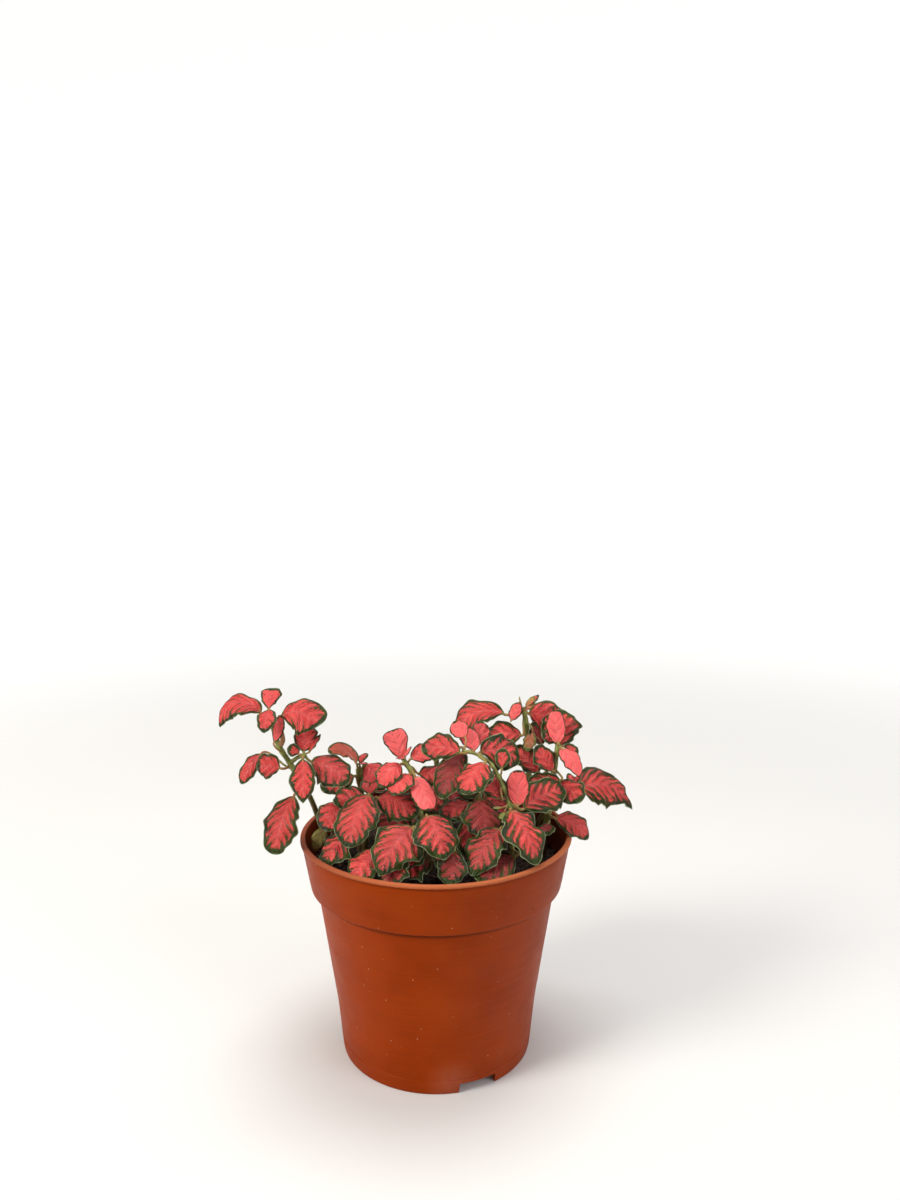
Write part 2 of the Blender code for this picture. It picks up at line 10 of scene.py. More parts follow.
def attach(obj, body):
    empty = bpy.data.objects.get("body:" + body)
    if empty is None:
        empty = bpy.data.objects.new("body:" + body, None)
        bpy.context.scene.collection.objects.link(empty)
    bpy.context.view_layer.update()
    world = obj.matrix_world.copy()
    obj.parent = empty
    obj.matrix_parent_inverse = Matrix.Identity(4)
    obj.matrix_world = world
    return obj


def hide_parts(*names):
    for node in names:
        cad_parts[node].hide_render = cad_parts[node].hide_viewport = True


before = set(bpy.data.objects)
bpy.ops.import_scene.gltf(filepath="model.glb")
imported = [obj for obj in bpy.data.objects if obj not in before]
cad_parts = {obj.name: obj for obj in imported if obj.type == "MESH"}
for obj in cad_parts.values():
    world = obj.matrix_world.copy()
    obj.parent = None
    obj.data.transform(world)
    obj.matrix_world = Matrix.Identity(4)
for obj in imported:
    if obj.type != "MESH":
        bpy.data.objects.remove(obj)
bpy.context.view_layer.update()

mm = 0.001  # lengths in the tables are millimetres, angles are degrees
tau = math.tau


# Small tools: colours, nodes, meshes

def linear(hexText):
    channels = [int(hexText[i:i + 2], 16) / 255 for i in (1, 3, 5)]
    return tuple(c / 12.92 if c <= 0.04045 else ((c + 0.055) / 1.055) ** 2.4 for c in channels) + (1.0,)


# the option that stands after the full stop in a node's kind
mainOption = {"Math": "operation", "VectorMath": "operation", "Mix": "data_type", "RandomValue": "data_type",
              "SampleIndex": "data_type", "MapRange": "interpolation_type", "Mapping": "vector_type",
              "Attribute": "attribute_name", "TexVoronoi": "feature", "TexWhiteNoise": "noise_dimensions"}


def fill(node, *feeds, **named):
    # feeds go into the open inputs in their order, the named ones by the input's name in camelCase. Each is a
    # plain value, or the socket or node that it comes from
    inputs = [socket for socket in node.inputs if socket.enabled]
    byName = {socket.name.replace(" ", "").lower(): socket for socket in inputs}
    for socket, feed in [*zip(inputs, feeds), *((byName[name.lower()], feed) for name, feed in named.items())]:
        if hasattr(feed, "outputs"):
            feed = next(output for output in feed.outputs if output.enabled)
        if isinstance(feed, bpy.types.NodeSocket):
            node.id_data.links.new(feed, socket)
        else:
            socket.default_value = feed
    return node


def addNode(tree, kind, *feeds, **named):
    # kind is Blender's name for the node without its first word, then its main option. A word all in capitals
    # is what a Math node does
    kind, _, option = ("Math." + kind if kind.isupper() else kind).partition(".")
    families = ("ShaderNode", "GeometryNode", "FunctionNode", "")
    node = tree.nodes.new(next(family + kind for family in families if hasattr(bpy.types, family + kind)))
    if option:
        setattr(node, mainOption[kind], option)
    return fill(node, *feeds, **named)


def newMaterial(name, roughness, look):
    # gives what its nodes need too: a way to add them, the shader, object coordinates, and the look with its
    # colours turned to linear
    material = bpy.data.materials.new(name)
    material.use_nodes = True
    add = partial(addNode, material.node_tree)
    shader = fill(material.node_tree.nodes["Principled BSDF"], roughness=roughness)
    look = {key: linear(value) if isinstance(value, str) else value for key, value in look.items()}
    return material, add, shader, add("TexCoord").outputs["Object"], look


def newObject(name, data):
    thing = bpy.data.objects.new(name, data)
    bpy.context.collection.objects.link(thing)
    return thing


def newPiece(name, points, faces, material=None, values=None, uv=None, edges=()):
    # values holds named lists of one number a point
    mesh = bpy.data.meshes.new(name)
    mesh.from_pydata((np.asarray(points) * mm).tolist(), edges, [tuple(face) for face in faces])
    for key, numbers in (values or {}).items():
        layer = mesh.attributes.new(key, "FLOAT", "POINT")
        layer.data.foreach_set("value", np.asarray(numbers, np.float32))
    if uv is not None:
        corners = np.empty(len(mesh.loops), np.int32)
        mesh.loops.foreach_get("vertex_index", corners)
        layer = mesh.uv_layers.new(name="surface")
        layer.data.foreach_set("uv", np.asarray(uv, np.float32)[corners].ravel())
    mesh.shade_smooth()
    if material:
        mesh.materials.append(material)
    return newObject(name, mesh)


def frozen(piece):
    # a plain mesh in place of the live modifiers
    bpy.context.view_layer.update()
    evaluated = piece.evaluated_get(bpy.context.evaluated_depsgraph_get())
    mesh = bpy.data.meshes.new_from_object(evaluated)
    piece.modifiers.clear()
    piece.data = mesh
    return piece


def newTree(name, inputs):
    # gives a way to add its nodes, and what comes in
    tree = bpy.data.node_groups.new(name, "GeometryNodeTree")
    for key, kind in {"Geometry": "Geometry", **inputs}.items():
        tree.interface.new_socket(key, in_out="INPUT", socket_type="NodeSocket" + kind)
    tree.interface.new_socket("Geometry", in_out="OUTPUT", socket_type="NodeSocketGeometry")
    return tree, partial(addNode, tree), tree.nodes.new("NodeGroupInput").outputs


def remade(piece, tree, inputs):
    # the piece as the tree makes it from its mesh and the inputs
    modifier = piece.modifiers.new(tree.name, "NODES")
    modifier.node_group = tree
    for item in tree.interface.items_tree:
        if item.in_out == "INPUT" and item.name in inputs:
            modifier[item.identifier] = inputs[item.name]
    return frozen(piece)


def nodeEnd(key):
    # a shoot's name as the CAD nodes end in it
    return "_" + "".join("_" + letter.lower() if letter.isupper() else letter for letter in key)


def gridFaces(rows, columns, offset, flip):
    i, j = np.meshgrid(np.arange(rows), np.arange(columns), indexing="ij")
    a = (offset + i * (columns + 1) + j).ravel()
    quad = np.stack([a, a + columns + 1, a + columns + 2, a + 1], 1)
    return quad[:, ::-1] if flip else quad


def rimFaces(rows, columns, offset):
    # closes the gap between two grids, the second offset points after the first
    index = np.arange((rows + 1) * (columns + 1)).reshape(rows + 1, columns + 1)
    loop = np.concatenate([index[:-1, 0], index[-1, :-1], index[:0:-1, -1], index[0, :0:-1]])
    after = np.roll(loop, -1)
    return np.stack([after, loop, loop + offset, after + offset], 1)


def tubeFaces(rings, sides):
    # rings of points joined into a tube, with a fan at either end round one point more
    i, k = np.meshgrid(np.arange(rings - 1), np.arange(sides), indexing="ij")
    a, b = (i * sides + k).ravel(), (i * sides + (k + 1) % sides).ravel()
    faces = [tuple(quad) for quad in np.stack([a, b, b + sides, a + sides], 1)]
    for k in range(sides):
        after, last = (k + 1) % sides, (rings - 1) * sides
        faces += [(rings * sides, after, k), (rings * sides + 1, last + k, last + after)]
    return faces


# Directions: heading turns from +X towards +Y, pitch is up from level

def direction(heading, pitch):
    h, p = np.radians(heading), np.radians(pitch)
    return np.stack([np.cos(h) * np.cos(p), np.sin(h) * np.cos(p), np.sin(p)], -1)


def unit(vector):
    return vector / np.linalg.norm(vector, axis=-1, keepdims=True)


def between(start, end, shares):
    return [tuple(a + (b - a) * share for a, b in zip(start, end)) for share in shares]


def smoothRoute(points, steps):
    # Catmull-Rom curve through the points
    route = np.array(points, float)
    route = np.vstack([2 * route[0] - route[1], route, 2 * route[-1] - route[-2]])
    curve = []
    for i in range(1, len(route) - 2):
        before, start, end, after = route[i - 1:i + 3]
        for t in np.arange(steps) / steps:
            curve.append(0.5 * (2 * start + (end - before) * t
                                + (2 * before - 5 * start + 4 * end - after) * t * t
                                + (3 * start - before - 3 * end + after) * t ** 3))
    return np.array([*curve, route[-2]])


def pointAlong(curve, share):
    place = share * (len(curve) - 1)
    i = min(int(place), len(curve) - 2)
    return curve[i] + (curve[i + 1] - curve[i]) * (place - i)


# Shoots: a stem's route and radii, a side branch where it has one, then its leaves, the young leaves at its
# tips and the inner leaves that fill the plant. A leaf's row holds leafColumns in order, with place a share of
# the stem (2 for the branch's tip) and foot the near end of the blade, then what sets it apart from the rest

# a leaf's extra brightness factor is painted light above 1 and painted shade below 1
leafColumns = ("place", "foot", "heading", "pitch", "droop", "roll", "length", "width", "cup", "age")
# a leaf's dulling of its pink is painted shade, for leaves that sit in the plant's shade
shoots = {}
shoots["left"] = {
    "route": [(-42, 4, 68), (-43.5, 4, 78), (-46, 1, 89), (-48.7, -5, 101), (-55, -10, 115.5), (-59, -11, 123),
              (-62, -12, 135)],
    "radii": (1.6, 1.1),
    "branch": [(-55, -10, 115.5), (-51.5, -14, 118.8), (-48.5, -16.5, 120.5)],
    "leaves": [
        (1, (-65, -12, 135.5), 180, 60, 160, -30, 23.5, 12, -0.2, 0.58, {"wave": 0.3, "tip": 0.6, "base": 0.6}),
        (0.83, (-57.5, -12.5, 134.5), -12, 34, 92, 48, 17, 15, -0.2, 0.58, {"stalk": 1.7, "wave": 0.4, "tip": 0.4}),
        (0.66, (-58, -14.5, 115), 168, 15, 30, -70, 9.5, 9.5, 0.1, 0.5),
        (0.64, (-67, -6, 118), 205, -40, 30, -40, 13.5, 7, -0.2, 0.45, {"tip": 0.6}),
        (0.56, (-53.4, -13, 103.7), 243, -30, 55, -10, 23, 13.5, -0.1, 0.75, {"dull": 0.12, "tip": 0.5, "base": 0.6}),
        (2, (-48.4, -19.9, 120.4), 278, -38, 35, 0, 17, 9.5, -0.15, 0.58, {"tip": 0.95, "base": 0.85, "wave": 0.6}),
        (2, (-46, -16, 118), -15, 0, 55, 35, 17, 14, -0.2, 0.68, {"dull": 0.3}),
    ],
    "young": [
        (1, (-62.5, -11, 136.5), 85, 50, 10, 0, 9.5, 8, 0.1, 0.32, {"tip": 0.35, "base": 0.9}),
        (1, (-61.6, -13, 137), 266, -5, 70, 0, 11.5, 7.5, -0.1, 0.52, {"tip": 0.75}),
        (0.78, (-60, -14.5, 125), 5, 68, -10, 60, 10.5, 5, 0.2, 0.15),
        (2, (-49, -15, 121.5), 85, 60, 10, 0, 11, 9, 0.1, 0.4),
        (2, (-50.5, -16.5, 121), 170, 40, 40, -60, 5, 5, 0, 0.5),
        (2, (-47, -16, 121.5), 35, 50, 0, -5, 8, 4.5, 0.2, 0.4),
        (0.25, (-44, -2.5, 91), 300, 40, 10, 0, 4.5, 2.6, 0, 0.1, {"bud": 0.5}),
        (0.12, (-42.5, -4, 88), 215, -35, 50, -40, 10, 5.5, 0.1, 0.1, {"bud": 0.9, "tone": 0.9}),
    ],
}
shoots["centreLeft"] = {
    "route": [(-31, 7, 68), (-30, 6, 84), (-29.4, 4, 96), (-30.5, 3, 109)],
    "radii": (1.8, 1.3),
    "leaves": [
        (1, (-31, 0.8, 112.6), 172, 78, 125, 55, 14, 9, 0.1, 0.35, {"wave": 0.2, "tone": 1.3}),
        (0.95, (-27.8, 0.5, 111.5), -42, -10, 50, 35, 13.5, 11, -0.1, 0.3, {"tone": 1.12}),
        (0.5, (-27, 9, 98), 80, -5, 30, 0, 20, 15, -0.15, 0.75, {"dull": 0.4}),
    ],
    "young": [
        (1, (-30, 2, 111.5), 300, 40, 60, 0, 6, 4, 0, 0.3),
        (1, (-30, 3, 111.5), 60, 60, 60, 0, 6, 4, 0, 0.3),
    ],
    "inner": [
        (0.85, (-32, 0, 107.5), 205, 0, 40, -35, 14, 12, -0.1, 0.8),
        (0.45, (-35, 9, 93), 150, -5, 30, 0, 15, 12, -0.15, 0.75),
        (0.35, (-33, 6, 97), 250, -20, 30, 0, 15, 13, -0.1, 0.75, {"dull": 0.35}),
        (0.4, (-22, 14, 98), 265, -30, 25, 0, 17, 14, -0.1, 0.75, {"dull": 0.35}),
    ],
}
shoots["frontLeft"] = {
    "route": [(-28, -4, 68), (-27, -8, 86), (-25, -12, 102)],
    "radii": (1.8, 1.4),
    "leaves": [
        (0.9, (-25, -14.5, 105), 252, -8, 55, -5, 24.5, 16, -0.15, 0.75, {"dull": 0.15}),
        (0.95, (-22, -13.5, 103.5), -25, 5, 45, 30, 18, 14, -0.2, 0.7, {"dull": 0.2}),
        (0.85, (-34, -13, 101.5), 232, -15, 45, -20, 14, 13.5, -0.15, 0.55),
        (0.5, (-30.5, -23, 94.5), 218, -25, 30, -5, 16.5, 15.5, -0.2, 0.95, {"dull": 0.1}),
    ],
    "young": [
        (1, (-25, -12, 104), 120, 50, 30, 0, 7, 5, 0, 0.4),
        (1, (-25, -12, 104), 60, 50, 30, 0, 7, 5, 0, 0.4),
        (0.95, (-28.6, -15, 103.6), 200, 20, 20, 0, 3.6, 2.4, 0, 0.1, {"bud": 1}),
    ],
    "inner": [
        (1, (-27, -12.5, 103.5), 193, 15, 50, -35, 12, 11, -0.1, 0.75),
    ],
}
shoots["centre"] = {
    "route": [(-2, -12, 68), (-3, -13, 84), (-6, -12, 97), (-8.7, -8, 110), (-12, -6, 115)],
    "radii": (1.8, 1.1),
    "leaves": [
        (1, (-12.6, -3, 114.5), 140, 62, 0, -25, 12.5, 10, 0.1, 0.05, {"wave": 0.3, "tip": 0.3, "base": 0.85}),
        (0.95, (-9.5, -6.5, 116.2), 15, 32, 40, 50, 10.5, 8, 0, 0.25),
        (0.95, (-13.4, -8.5, 114.8), 232, 8, 75, -20, 14, 10, -0.2, 0.35),
        (0.75, (-10, -10.5, 111.6), 240, 5, 60, 0, 13, 11, -0.1, 0.35),
        (0.8, (-7.8, -10.8, 110.8), -68, -14, 30, 0, 17.5, 9.5, -0.2, 0.05, {"wave": 0.2, "tip": 0.4, "base": 0.5}),
    ],
    "young": [
        (1, (-12.5, -7.5, 116.5), 255, 30, 30, 0, 5, 4, 0, 0.1),
        (1, (-12, -6, 116.5), 20, 70, 30, 0, 5, 3, 0, 0.1),
        (0.62, (-13.6, -12.6, 103.8), 190, 20, 20, 0, 3.4, 2.2, 0, 0.1, {"bud": 1}),
        (0.5, (-12, -15.5, 98.5), 265, 30, -20, 0, 4.4, 2.6, 0.1, 0.1, {"bud": 0.55}),
    ],
    "inner": [
        (0.85, (-6.5, -7, 110.5), 5, 5, 40, 35, 12, 10, -0.1, 0.6),
        (0.55, (-14, -3, 98), 250, -30, 30, 0, 18, 15, -0.1, 0.7, {"dull": 0.3}),
    ],
}
shoots["frontCentre"] = {
    "route": [(4, -20, 68), (0, -22, 84), (-4, -23, 96)],
    "radii": (1.7, 1.4),
    "leaves": [
        (0.95, (-8, -27, 97), 236, 0, 60, -20, 24, 18.5, -0.15, 0.8, {"dull": 0.25, "tip": 0.95, "base": 0.6}),
        (1, (-3, -25.5, 101), -66, -10, 50, 0, 20, 17, -0.2, 0.8, {"dull": 0.1, "tip": 0.85}),
        (0.8, (1, -26.5, 92), -62, -15, 50, 10, 14, 11, -0.1, 0.8, {"dull": 0.35}),
    ],
    "inner": [
        (0.5, (-2, -29, 85), 215, 5, 30, -10, 14, 13, -0.1, 0.85),
        (0.7, (-5, -22, 92), 240, -15, 30, 10, 17, 14, -0.1, 0.6),
        (0.6, (-20, -31, 90), 225, -10, 40, -10, 15, 13, -0.15, 0.65),
        (0.45, (-12, -33, 90), 240, -25, 30, 0, 14, 12, -0.1, 0.75, {"dull": 0.5}),
        (0.5, (7, -32, 90), 262, -30, 20, 0, 13, 11, -0.1, 0.7, {"dull": 0.6, "tone": 0.85}),
    ],
}
shoots["rightCentre"] = {
    "route": [(29, -15, 68), (28.5, -18, 86), (27.5, -20, 101.6), (22.1, -16, 114.7), (16.6, -14, 119.5),
              (10.6, -14, 121.4)],
    "radii": (1.7, 1),
    "slim": 0.68,
    "leaves": [
        (0.96, (9.2, -16.2, 121.5), 174, 30, 60, -50, 15.2, 11, -0.1, 0.68, {"dull": 0.1, "tip": 0.6}),
        (0.95, (14.5, -12, 121), 110, 50, 10, 0, 10, 8, 0, 0.1),
        (0.8, (18.5, -17, 118), 230, -5, 60, 0, 16.5, 15, -0.2, 0.6),
        (0.8, (17, -9, 119.5), 15, 20, 80, 50, 18, 15, -0.1, 0.85, {"dull": 0.05}),
        (0.42, (30.3, -21.5, 103), 85, 76, -10, 0, 13, 8.5, 0, 0.1, {"tip": 0.45, "base": 0.5}),
        (0.39, (27.6, -23.5, 102.2), -62, -15, 50, 0, 23.5, 15.5, -0.1, 1, {"tip": 0.75, "base": 0.55}),
        (0.4, (33, -17.5, 100.5), 30, 35, 45, 45, 20, 14, 0, 0.95),
        (0.3, (23.5, -27, 96.5), 228, -15, 50, -10, 21, 14.5, -0.1, 0.9, {"dull": 0.45, "tip": 0.75, "base": 0.6}),
        (0.2, (28.5, -32, 88.3), 205, -8, 25, -20, 17, 14.5, -0.1, 0.75, {"dull": 0.85}),
    ],
    "young": [
        (0.64, (20, -18.5, 115.5), 250, -10, 40, 0, 8, 5.5, 0, 0.6),
        (0.56, (24.5, -16.5, 115.5), 80, 65, 15, 0, 8, 6, 0, 0.6),
        (1, (11, -11.5, 126), 140, 45, 0, -30, 7.5, 7.5, 0, 0.1),
        (0.42, (24.5, -23, 103), 215, 15, 20, 0, 4.2, 2.6, 0, 0.1, {"bud": 1}),
        (0.42, (25, -24, 101.4), 240, -20, 20, 0, 3.4, 2.2, 0, 0.1, {"bud": 1}),
    ],
    "inner": [
        (0.5, (24.5, -20, 105), 130, 45, 20, -20, 14, 11, 0, 0.7),
        (0.8, (18.2, 2, 119), 105, 62, 0, 10, 10, 8.5, 0, 0.3, {"dull": 0.2}),
    ],
}
shoots["rightBack"] = {
    "route": [(37, 12, 68), (37.5, 11, 94), (36.3, 12, 120), (35, 12, 131)],
    "radii": (1.8, 1.1),
    "leaves": [
        (0.96, (27.5, 12, 129), 180, 30, 108, -45, 25, 12.5, 0, 0.66, {"base": 0.85}),
        (0.85, (34, 9.5, 121), 190, 20, 40, -50, 15, 11, 0, 0.75),
        (0.98, (37.2, 15, 128.5), 2, 4, 62, 55, 18, 15.5, -0.1, 0.55, {"skew": -0.1, "tone": 1.2}),
        (0.45, (39, 16, 97), 70, -5, 30, 0, 18, 14, -0.15, 0.75, {"dull": 0.3}),
        (0.4, (32, 14, 95), 140, -5, 30, 0, 18, 14, -0.15, 0.75, {"dull": 0.3}),
    ],
    "young": [
        (1, (29.6, 9, 127.2), 10, 62, 0, 50, 8, 5.5, 0, 0.15),
        (1, (34.5, 11, 131), 140, 62, -20, 50, 5.5, 3.2, 0, 0.1, {"bud": 0.8, "tone": 1.25}),
        (1, (35.5, 10.5, 131), 25, 40, -30, 60, 6.5, 3.4, 0, 0.1, {"bud": 0.7, "tone": 1.25}),
        (1, (36, 12, 132), 20, 50, 20, 0, 7, 5, 0, 0.3),
    ],
    "inner": [
        (0.35, (38, 17, 101), 265, -30, 25, 0, 17, 14, -0.1, 0.75, {"dull": 0.3, "tone": 0.9}),
        (0.3, (29, 20, 94), 255, -30, 20, 0, 17, 14, -0.1, 0.8, {"dull": 0.4}),
        (0.8, (38.2, 9, 122.7), 235, -50, 20, 0, 8.5, 6, -0.1, 0.4, {"bud": 0.55, "tone": 0.85}),
        (0.72, (42.2, 9, 117.2), 135, 60, 0, 0, 10, 8.5, 0, 0.6, {"dull": 0.6, "tone": 0.9}),
    ],
}
shoots["right"] = {
    "route": [(42, 6, 68), (44, 3, 90), (46, 2, 108), (47.8, 4, 118.6)],
    "radii": (1.7, 1.2),
    "leaves": [
        (0.95, (48.6, 6.6, 117.5), 78, 76, 25, 0, 15, 16, -0.1, 0.75, {"dull": 0.1}),
        (1, (47.5, 1.5, 120), 100, 72, 0, 0, 13, 8, 0, 0.05, {"tip": 0.5, "base": 0.5}),
        (0.95, (49, -0.5, 118.5), -58, -15, 50, 0, 14, 9, 0, 0.1, {"tip": 0.8, "base": 0.55}),
        (0.75, (45.4, -2.5, 110), 150, 58, 15, -30, 12, 9.5, 0, 0.6),
        (0.65, (47.6, -2.2, 105.5), -45, -5, 50, 25, 12, 12, 0, 0.75),
        (0.35, (46.3, -1.5, 91), -20, 8, 72, 22, 16, 12, 0, 0.5, {"dull": 0.3, "tone": 1.1}),
    ],
    "young": [
        (1, (50, 4, 118), 0, 0, 60, 50, 7, 4.5, 0, 0.6),
        (1, (47, 4, 119.5), 180, 50, 40, -40, 7, 6, 0, 0.6),
    ],
    "inner": [
        (0.7, (40, 1, 108), 140, 45, 20, -30, 15, 10, 0, 0.75),
        (0.7, (48, -4, 107), 185, 0, 20, -60, 14, 8, 0, 0.7),
        (0.3, (43, -8.5, 91.5), 250, -10, 20, 0, 7, 7, 0, 0.7, {"dull": 0.7}),
    ],
}
shoots["rightLow"] = {
    "route": [(39, 20, 68), (41, 18, 80), (47, 14.5, 91), (55, 12, 98.5)],
    "radii": (1.6, 1.2),
    "leaves": [
        (1, (58, 12, 99), 8, 20, 92, 42, 27.5, 18, -0.2, 0.95, {"wave": 0.4, "tip": 1.15, "base": 0.5}),
    ],
    "young": [
        (1, (55, 12, 100), 20, 60, 20, 0, 5, 4, 0, 0.3),
        (1, (55, 12, 100), 120, 60, 20, 0, 5, 4, 0, 0.3),
    ],
    "inner": [
        (0.6, (50, 18, 92), 60, 0, 30, 0, 16, 13, -0.15, 0.75),
    ],
}
shoots["middle"] = {
    "route": [(12, -4, 68), (14, -7, 88), (16, -11, 102.5)],
    "radii": (1.7, 1.3),
    "leaves": [
        (0.95, (16.4, -15, 103.5), -80, -25, 40, 0, 16, 15.5, -0.2, 0.65, {"dull": 0.7, "tip": 0.7}),
    ],
    "inner": [
        (0.8, (12, -17, 97), -95, -55, 20, 0, 14, 9, -0.1, 0.7),
        (0.9, (13, -13, 101), 200, 0, 40, -20, 13, 11, -0.1, 0.7),
        (0.6, (20, 5, 102), 300, -35, 25, 0, 17, 14, -0.1, 0.75, {"dull": 0.35}),
    ],
}
shoots["back"] = {
    "route": [(4, 16, 68), (3, 14, 90), (0, 10, 110), (2, 7, 121)],
    "radii": (1.8, 1),
    "leaves": [
        (0.9, (10, -8, 119.5), 238, -25, 40, 0, 21, 14, -0.1, 0.75, {"dull": 0.8}),
        (0.45, (8, 19, 96), 60, -5, 30, 0, 19, 15, -0.15, 0.75, {"dull": 0.3}),
        (0.4, (-2, 18, 94), 130, -5, 30, 0, 19, 15, -0.15, 0.75, {"dull": 0.3}),
    ],
    "inner": [
        (0.3, (5, 22, 88), 95, -5, 20, 0, 18, 14, -0.15, 0.8),
        (0.55, (6.5, 13, 101), 275, -35, 25, 5, 18, 15, -0.1, 0.75, {"dull": 0.35}),
        (0.7, (12, 18, 107), 280, -30, 20, 10, 17, 14, -0.1, 0.7, {"dull": 0.3}),
        (0.6, (-1, 6, 104), 262, -35, 20, 0, 16, 13, -0.1, 0.7, {"dull": 0.4}),
        (0.35, (-9, 22, 95), 262, -30, 20, 0, 18, 15, -0.1, 0.8, {"dull": 0.4}),
        (0.3, (12, 25, 95), 280, -30, 20, 0, 18, 15, -0.1, 0.8, {"dull": 0.4}),
    ],
}
for shoot in shoots.values():
    for group in ("leaves", "young", "inner"):
        shoot[group] = [dict(zip(leafColumns, row), **dict(*row[10:])) for row in shoot.get(group, [])]


# Leaves

leafLook = {
    "grid": (44, 28), "youngGrid": (24, 14),    # rows and columns of a leaf's mesh
    "base": 0.7, "tip": 0.66,                   # roundness towards stalk and tip, where a leaf has no own
    "thickness": 0.34, "marginThickness": 0.14,
    "veinSpacing": 3.6, "fewestVeins": 3.2,     # along the midrib
    "veinLean": 0.34,                           # how far a side vein runs forward by the margin, share of length
    "veinBend": 1.15,
    "veinStagger": 0.14,                        # how far the two sides' veins are out of step, share of spacing
    "quilt": 0.5,                               # height of the puffed cells between side veins
    "groove": 0.3, "grooveWidth": 0.7,          # the midrib's channel
    "waveCount": 2.6,
    "lobes": (0.018, 0.06, 0.028),              # how far the margin stands out at its veins and in two longer waves
    "lopsided": 0.14,                           # how much one side may be wider, share of half the width
    "crumple": 0.32, "crumpleWaves": ((8.3, 11), (-13, 6.7)),   # height, and wavelengths along and across
    "curl": 0.1,                                # how far the margin turns down, share of half the width
    "usualWidth": 15,                           # the leaf that the heights here are meant for
    "stalkRadius": 0.54, "stalkSides": 10, "stalkRings": 12,
    "ribEnd": 0.86,                             # how far along the blade the stalk goes on as its rib
}


def wave(turns):
    return np.sin(tau * turns)


def bladeSurface(leaf, rows, columns, rng):
    look, age, length, width = leafLook, leaf["age"], leaf["length"], leaf["width"]
    t = np.linspace(0, 1, rows + 1)
    u = (t - 0.45 * wave(t) / tau) * 0.994      # rows gather at foot and tip
    fine = np.linspace(0, 1, 161)               # the midrib's curve is summed up in small steps
    middle = (fine[1:] + fine[:-1]) / 2
    steps = direction(leaf["heading"], leaf["pitch"] - leaf["droop"] * middle) * length / len(middle)
    line = np.vstack([[leaf["foot"]], np.array(leaf["foot"], float) + np.cumsum(steps, 0)])
    midrib = np.stack([np.interp(u, fine, line[:, k]) for k in range(3)], 1)
    along = direction(leaf["heading"], leaf["pitch"] - leaf["droop"] * u)
    heading, roll = math.radians(leaf["heading"]), math.radians(leaf["roll"])
    level = np.array([-math.sin(heading), math.cos(heading), 0])
    up = np.cross(along, level)
    across = level * math.cos(roll) + up * math.sin(roll)
    out = up * math.cos(roll) - level * math.sin(roll)

    # u runs from foot to tip, v from margin to margin, spread from midrib to margin
    u = u[:, None]
    v = np.linspace(-1, 1, columns + 1)[None, :]
    spread, side, right = np.abs(v), np.sign(v), v > 0
    size = width / look["usualWidth"]
    start = rng.uniform(0, 1, 9)                # where each of its waves starts
    veins = max(length / look["veinSpacing"], look["fewestVeins"])
    vein = veins * (u - look["veinLean"] * spread ** look["veinBend"]) + look["veinStagger"] * side
    edgeVein = veins * (u - look["veinLean"]) + look["veinStagger"] * side
    a, b = leaf.get("base", look["base"]), leaf.get("tip", look["tip"])
    widest = a / (a + b)
    half = width / 2 * (u ** a * (1 - u) ** b / (widest ** a * (1 - widest) ** b))
    half = half * (1 + (leaf.get("skew", 0) + look["lopsided"] * (start[3] - 0.5)) * side)
    teeth, slow, quick = look["lobes"]
    lobes = (teeth * np.cos(tau * edgeVein) + slow * wave(1.9 * u + start[0] + 0.3 * side)
             + quick * wave(4.3 * u + start[4] - 0.2 * side))
    half = half * (1 + lobes * (0.5 + age))
    half = np.maximum(half, look["stalkRadius"] * (1 - 3 * u))

    # height of the skin over a flat blade
    ends = (4 * u * (1 - u)) ** 0.35
    puff = np.clip(spread / 0.3, 0, 1) ** 0.8 * (1 - 0.55 * spread ** 4) * ends
    bulge = (0.5 - 0.5 * np.cos(tau * vein)) ** 0.8 - 0.5
    ripple = (wave(look["waveCount"] * u + start[1] + 0.37 * right)
              + 0.45 * wave(1.9 * look["waveCount"] * u + start[2] + 0.5 * right))
    x, y = u * length, v * half
    crumple = sum(wave(x / lengthwise + y / sideways + begin)
                  for (lengthwise, sideways), begin in zip(look["crumpleWaves"], start[5:]))
    height = leaf["cup"] * np.sqrt(u) * half * spread ** 1.5
    height = height + look["quilt"] * size * (0.45 + 0.75 * age) * bulge * puff
    height = height - look["groove"] * np.exp(-(y / look["grooveWidth"]) ** 2) * np.sqrt(1 - u) * min(size, 1)
    height = height + leaf.get("wave", 0.45 + 0.85 * age) * size * spread ** 3 * ripple * ends * 0.7
    height = height - look["curl"] * half * spread ** 7
    height = height + look["crumple"] * (0.4 + age) * size * crumple * ends * spread

    across, out = across[:, None, :], out[:, None, :]
    top = midrib[:, None, :] + across * y[..., None] + out * height[..., None]
    normal = unit(np.cross(np.gradient(top, axis=0), np.gradient(top, axis=1)) + 1e-9 * out)
    thick = look["marginThickness"] + (look["thickness"] - look["marginThickness"]) * (1 - spread ** 3)
    low = top - normal * (thick * np.sqrt(np.clip(half / 2, 0.25, 1)))[..., None]
    margin = np.minimum((1 - spread) * half, (1.0 - u) * length * 0.6)
    return {"along": u + 0 * v, "v": v + 0 * u, "top": top, "low": low, "out": out[:, 0], "across": across[:, 0],
            "vein": vein, "spread": spread + 0 * u, "margin": margin}


def leafStart(shoot, leaf):
    # the stem's surface where the stalk leaves it, and the way out of the stem there
    branch = leaf["place"] > 1
    curve = smoothRoute(shoot["branch" if branch else "route"], 8)
    share = min(leaf["place"], 1.0)
    centre = pointAlong(curve, share)
    along = unit(centre - pointAlong(curve, share - 0.05))
    away = np.array(leaf["foot"], float) - centre
    away = unit(away - along * np.dot(away, along))
    first, last = shoot["radii"]
    radius = last if branch else first + (last - first) * share
    return centre + away * radius * 0.5, away


